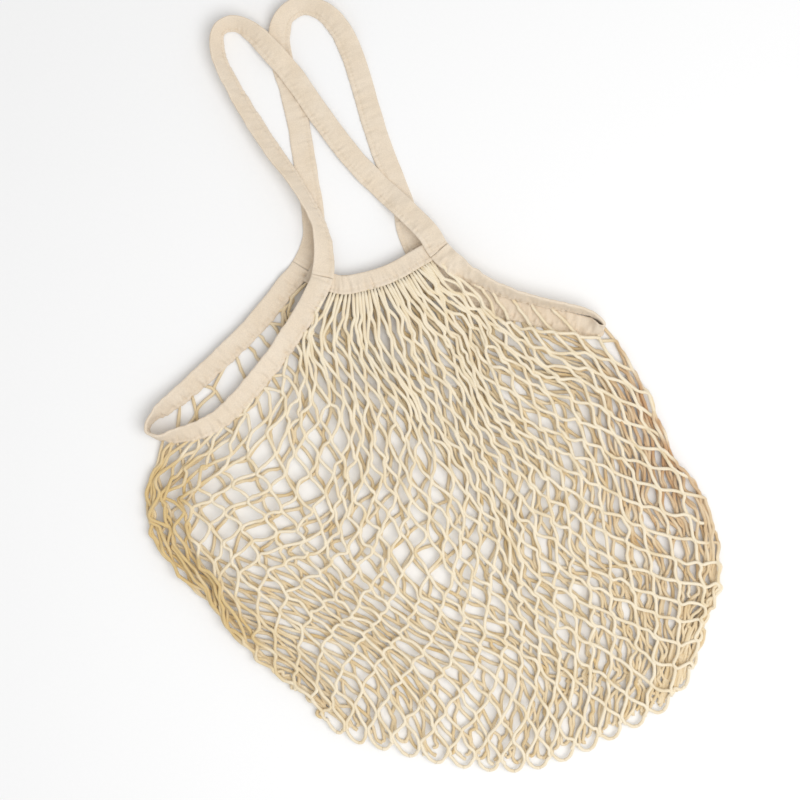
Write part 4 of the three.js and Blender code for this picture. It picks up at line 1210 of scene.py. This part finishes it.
class BagNetSettings(bpy.types.PropertyGroup):
    """Sizes and colours of the net, and how loosely it lies"""
    cord: length_property("Cord", "Diameter of the net's cord", 3.1)
    bar: length_property("Bar", "Cord length from one joint to the next", 20)
    touch: length_property("Joint length", "How far two cords run side by side", 5)
    strand_pitch: length_property("Strand pitch", "A strand's width in the unstretched net", 7)
    hem_reach: length_property("Hem reach", "How far a cord runs into its binding", 1.5)
    front_height: length_property("Front height", "Height of the front wall's cords", 10.5)
    joint_gap: length_property("Joint gap", "Between both cords' middles where they join", 2.3)
    bow: length_property("Bow", "How far a free stretch of cord bows", 1.1)
    kink: length_property("Kink", "Height of the kinks below the mouth's right end", 2.6)
    loop: length_property("Loop", "Half width of the loops at the bottom", 11.5)
    strip: FloatProperty(name="Left strip", description="Width of the left side's bunch, in half meshes",
                         default=3.6)
    corner: FloatProperty(name="Corner", description="Rows by which the bottom's corners are rounded",
                          default=1.1)
    tangle: length_property("Tangle", "How far the bunched cords wander", 7)
    front_waves: length_property("Front waves", "Height of the front wall's soft waves", 1.6)
    bunch_width: FloatProperty(name="Bunch width", description="How far the back's bunches reach in from its "
                               "sides, as a share of its width", default=0.18)
    pile_height: length_property("Pile height", "Height of the bunched cords", 6)
    pull: FloatProperty(name="Pull", description="Pull towards the laid places in each pass", default=0.06)
    passes: IntProperty(name="Passes", description="Passes of the relaxing", default=150)
    cord_steps: IntProperty(name="Cord steps", description="Rings between two points of a cord", default=3)
    cord_sides: IntProperty(name="Cord sides", description="Sides of a cord's ring", default=8)
    cord_colour: colour_property("Cord colour", "Colour of the cord", "#f4e7cd")
    # Also the colour of the painted shade on the back wall's cords
    cord_ochre_and_shade: colour_property("Cord ochre", "Colour of its darker places", "#ddc189")
    # The colour of the painted shade on the back wall's cords, most where they bunch
    cord_brown_shade: colour_property("Cord brown", "Colour of the bunched cords", "#c49a70")


class BagStageSettings(bpy.types.PropertyGroup):
    """The camera's view, the floor and the light"""
    view_width: length_property("View width", "Width that the camera sees at the bag", 720)
    lens: FloatProperty(name="Lens", description="Focal length in millimetres", default=85)
    floor_colour: colour_property("Floor colour", "Colour of the floor", "#f4f4f4")
    key_power: FloatProperty(name="Key power", description="Power of the large soft light", default=20.5,
                             unit="POWER")
    sky_strength: FloatProperty(name="Sky strength", description="Strength of the light all round",
                                default=0.7)


class BAG_OT_camera(bpy.types.Operator):
    """Makes the camera, straight above the bag and turned as the photograph is"""
    bl_idname = "string_bag.camera"
    bl_label = "Add Camera"

    def execute(self, context):
        settings = context.scene.bag_stage
        camera = bpy.data.cameras.new("view")
        camera.lens = settings.lens
        camera.sensor_width = SENSOR_WIDTH
        made = bpy.data.objects.new("view", camera)
        context.scene.collection.objects.link(made)
        away = settings.view_width * settings.lens / SENSOR_WIDTH
        made.location = (*VIEW_MIDDLE, away + VIEW_HEIGHT)
        made.rotation_euler = Euler((0, 0, VIEW_TURN))
        context.scene.camera = made
        context.scene.view_settings.view_transform = "Standard"
        return {"FINISHED"}


class BAG_OT_tapes(bpy.types.Operator):
    """Makes the handles, side bindings and mouth bands with their seams"""
    bl_idname = "string_bag.tapes"
    bl_label = "Add Tapes"

    def execute(self, context):
        settings = context.scene.bag_tape
        tapes = lay_tapes(settings)
        cotton, thread = tape_cotton(settings), thread_cotton(settings)
        for n, (name, tape) in enumerate(tapes.items()):
            is_handle = name.endswith("handle")
            seam = tape.line.width / 2 - settings.seam_inset
            depth = settings.handle_pucker if is_handle else settings.binding_pucker
            puckers = Puckers(101 + 7 * n, depth, seam)
            piece = tape_piece(f"{name}_cloth", tape, puckers, settings.step, is_handle)
            dress(piece, cotton, [name])
            rows = [seam_row(SEAM_END, tape.length - SEAM_END, seam, settings)]
            if is_handle:
                rows += [cross_seam(root, tape.line.width / 2 - SEAM_END, settings)
                         for root in (ROOT_SEAM, tape.length - ROOT_SEAM)]
            sewn = stitches(f"{name}_stitches", tape, puckers, join_seams(*rows), settings)
            dress(sewn, thread)
        return {"FINISHED"}


class BAG_OT_net(bpy.types.Operator):
    """Makes the net of cotton cords, front and back, in four pieces"""
    bl_idname = "string_bag.net"
    bl_label = "Add Net"

    def execute(self, context):
        settings = context.scene.bag_net
        tapes = lay_tapes(context.scene.bag_tape)
        cords = NetCords(tapes, settings)
        cotton = net_cotton(settings)
        groups = np.array_split(np.arange(len(cords.k)), 4)
        for label, members in zip(("left", "middle_left", "middle_right", "right"), groups):
            piece, length = cord_piece(f"net_{label}", cords, members, settings)
            dress(piece, cotton, ["net_bag"])
        return {"FINISHED"}


class BAG_OT_stage(bpy.types.Operator):
    """Makes the floor and the soft studio light"""
    bl_idname = "string_bag.stage"
    bl_label = "Add Stage"

    def execute(self, context):
        settings = context.scene.bag_stage
        corners = [(FLOOR_REACH * x, FLOOR_REACH * y, 0) for x, y in ((-1, -1), (1, -1), (1, 1), (-1, 1))]
        mesh = bpy.data.meshes.new("floor")
        mesh.from_pydata(corners, [], [(0, 1, 2, 3)])
        floor = bpy.data.objects.new("floor", mesh)
        context.scene.collection.objects.link(floor)
        floor.data.materials.append(floor_paper(settings))
        light = bpy.data.lights.new("key", "AREA")
        light.shape = "DISK"
        light.size = KEY_SIZE
        light.energy = settings.key_power
        key = bpy.data.objects.new("key", light)
        context.scene.collection.objects.link(key)
        right, up, height = KEY_PLACE
        key.location = (*view_to_plan(right, up), height)
        aim = Vector((*VIEW_MIDDLE, 0)) - key.location
        key.rotation_euler = aim.to_track_quat("-Z", "Y").to_euler()
        world = bpy.data.worlds.new("soft_sky")
        world.use_nodes = True
        background = world.node_tree.nodes["Background"]
        background.inputs["Color"].default_value = linear("#f8f8f8")
        background.inputs["Strength"].default_value = settings.sky_strength
        context.scene.world = world
        return {"FINISHED"}


class BAG_PT_panel(bpy.types.Panel):
    """Lists the bag's settings and its operators"""
    bl_label = "String Bag"
    bl_idname = "BAG_PT_panel"
    bl_space_type = "VIEW_3D"
    bl_region_type = "UI"
    bl_category = "String Bag"

    def draw(self, context):
        for settings in (context.scene.bag_tape, context.scene.bag_net, context.scene.bag_stage):
            box = self.layout.box()
            for name in settings.__annotations__:
                box.prop(settings, name)
        for operator in OPERATORS:
            self.layout.operator(operator.bl_idname)


OPERATORS = (BAG_OT_camera, BAG_OT_tapes, BAG_OT_net, BAG_OT_stage)
CLASSES = (BagTapeSettings, BagNetSettings, BagStageSettings, *OPERATORS, BAG_PT_panel)


def register():
    for kind in CLASSES:
        bpy.utils.register_class(kind)
    bpy.types.Scene.bag_tape = PointerProperty(type=BagTapeSettings)
    bpy.types.Scene.bag_net = PointerProperty(type=BagNetSettings)
    bpy.types.Scene.bag_stage = PointerProperty(type=BagStageSettings)


def unregister():
    for name in ("bag_stage", "bag_net", "bag_tape"):
        delattr(bpy.types.Scene, name)
    for kind in reversed(CLASSES):
        bpy.utils.unregister_class(kind)


def main():
    register()
    bpy.ops.string_bag.camera()
    bpy.ops.string_bag.tapes()
    bpy.ops.string_bag.net()
    bpy.ops.string_bag.stage()


if __name__ == "__main__":
    main()
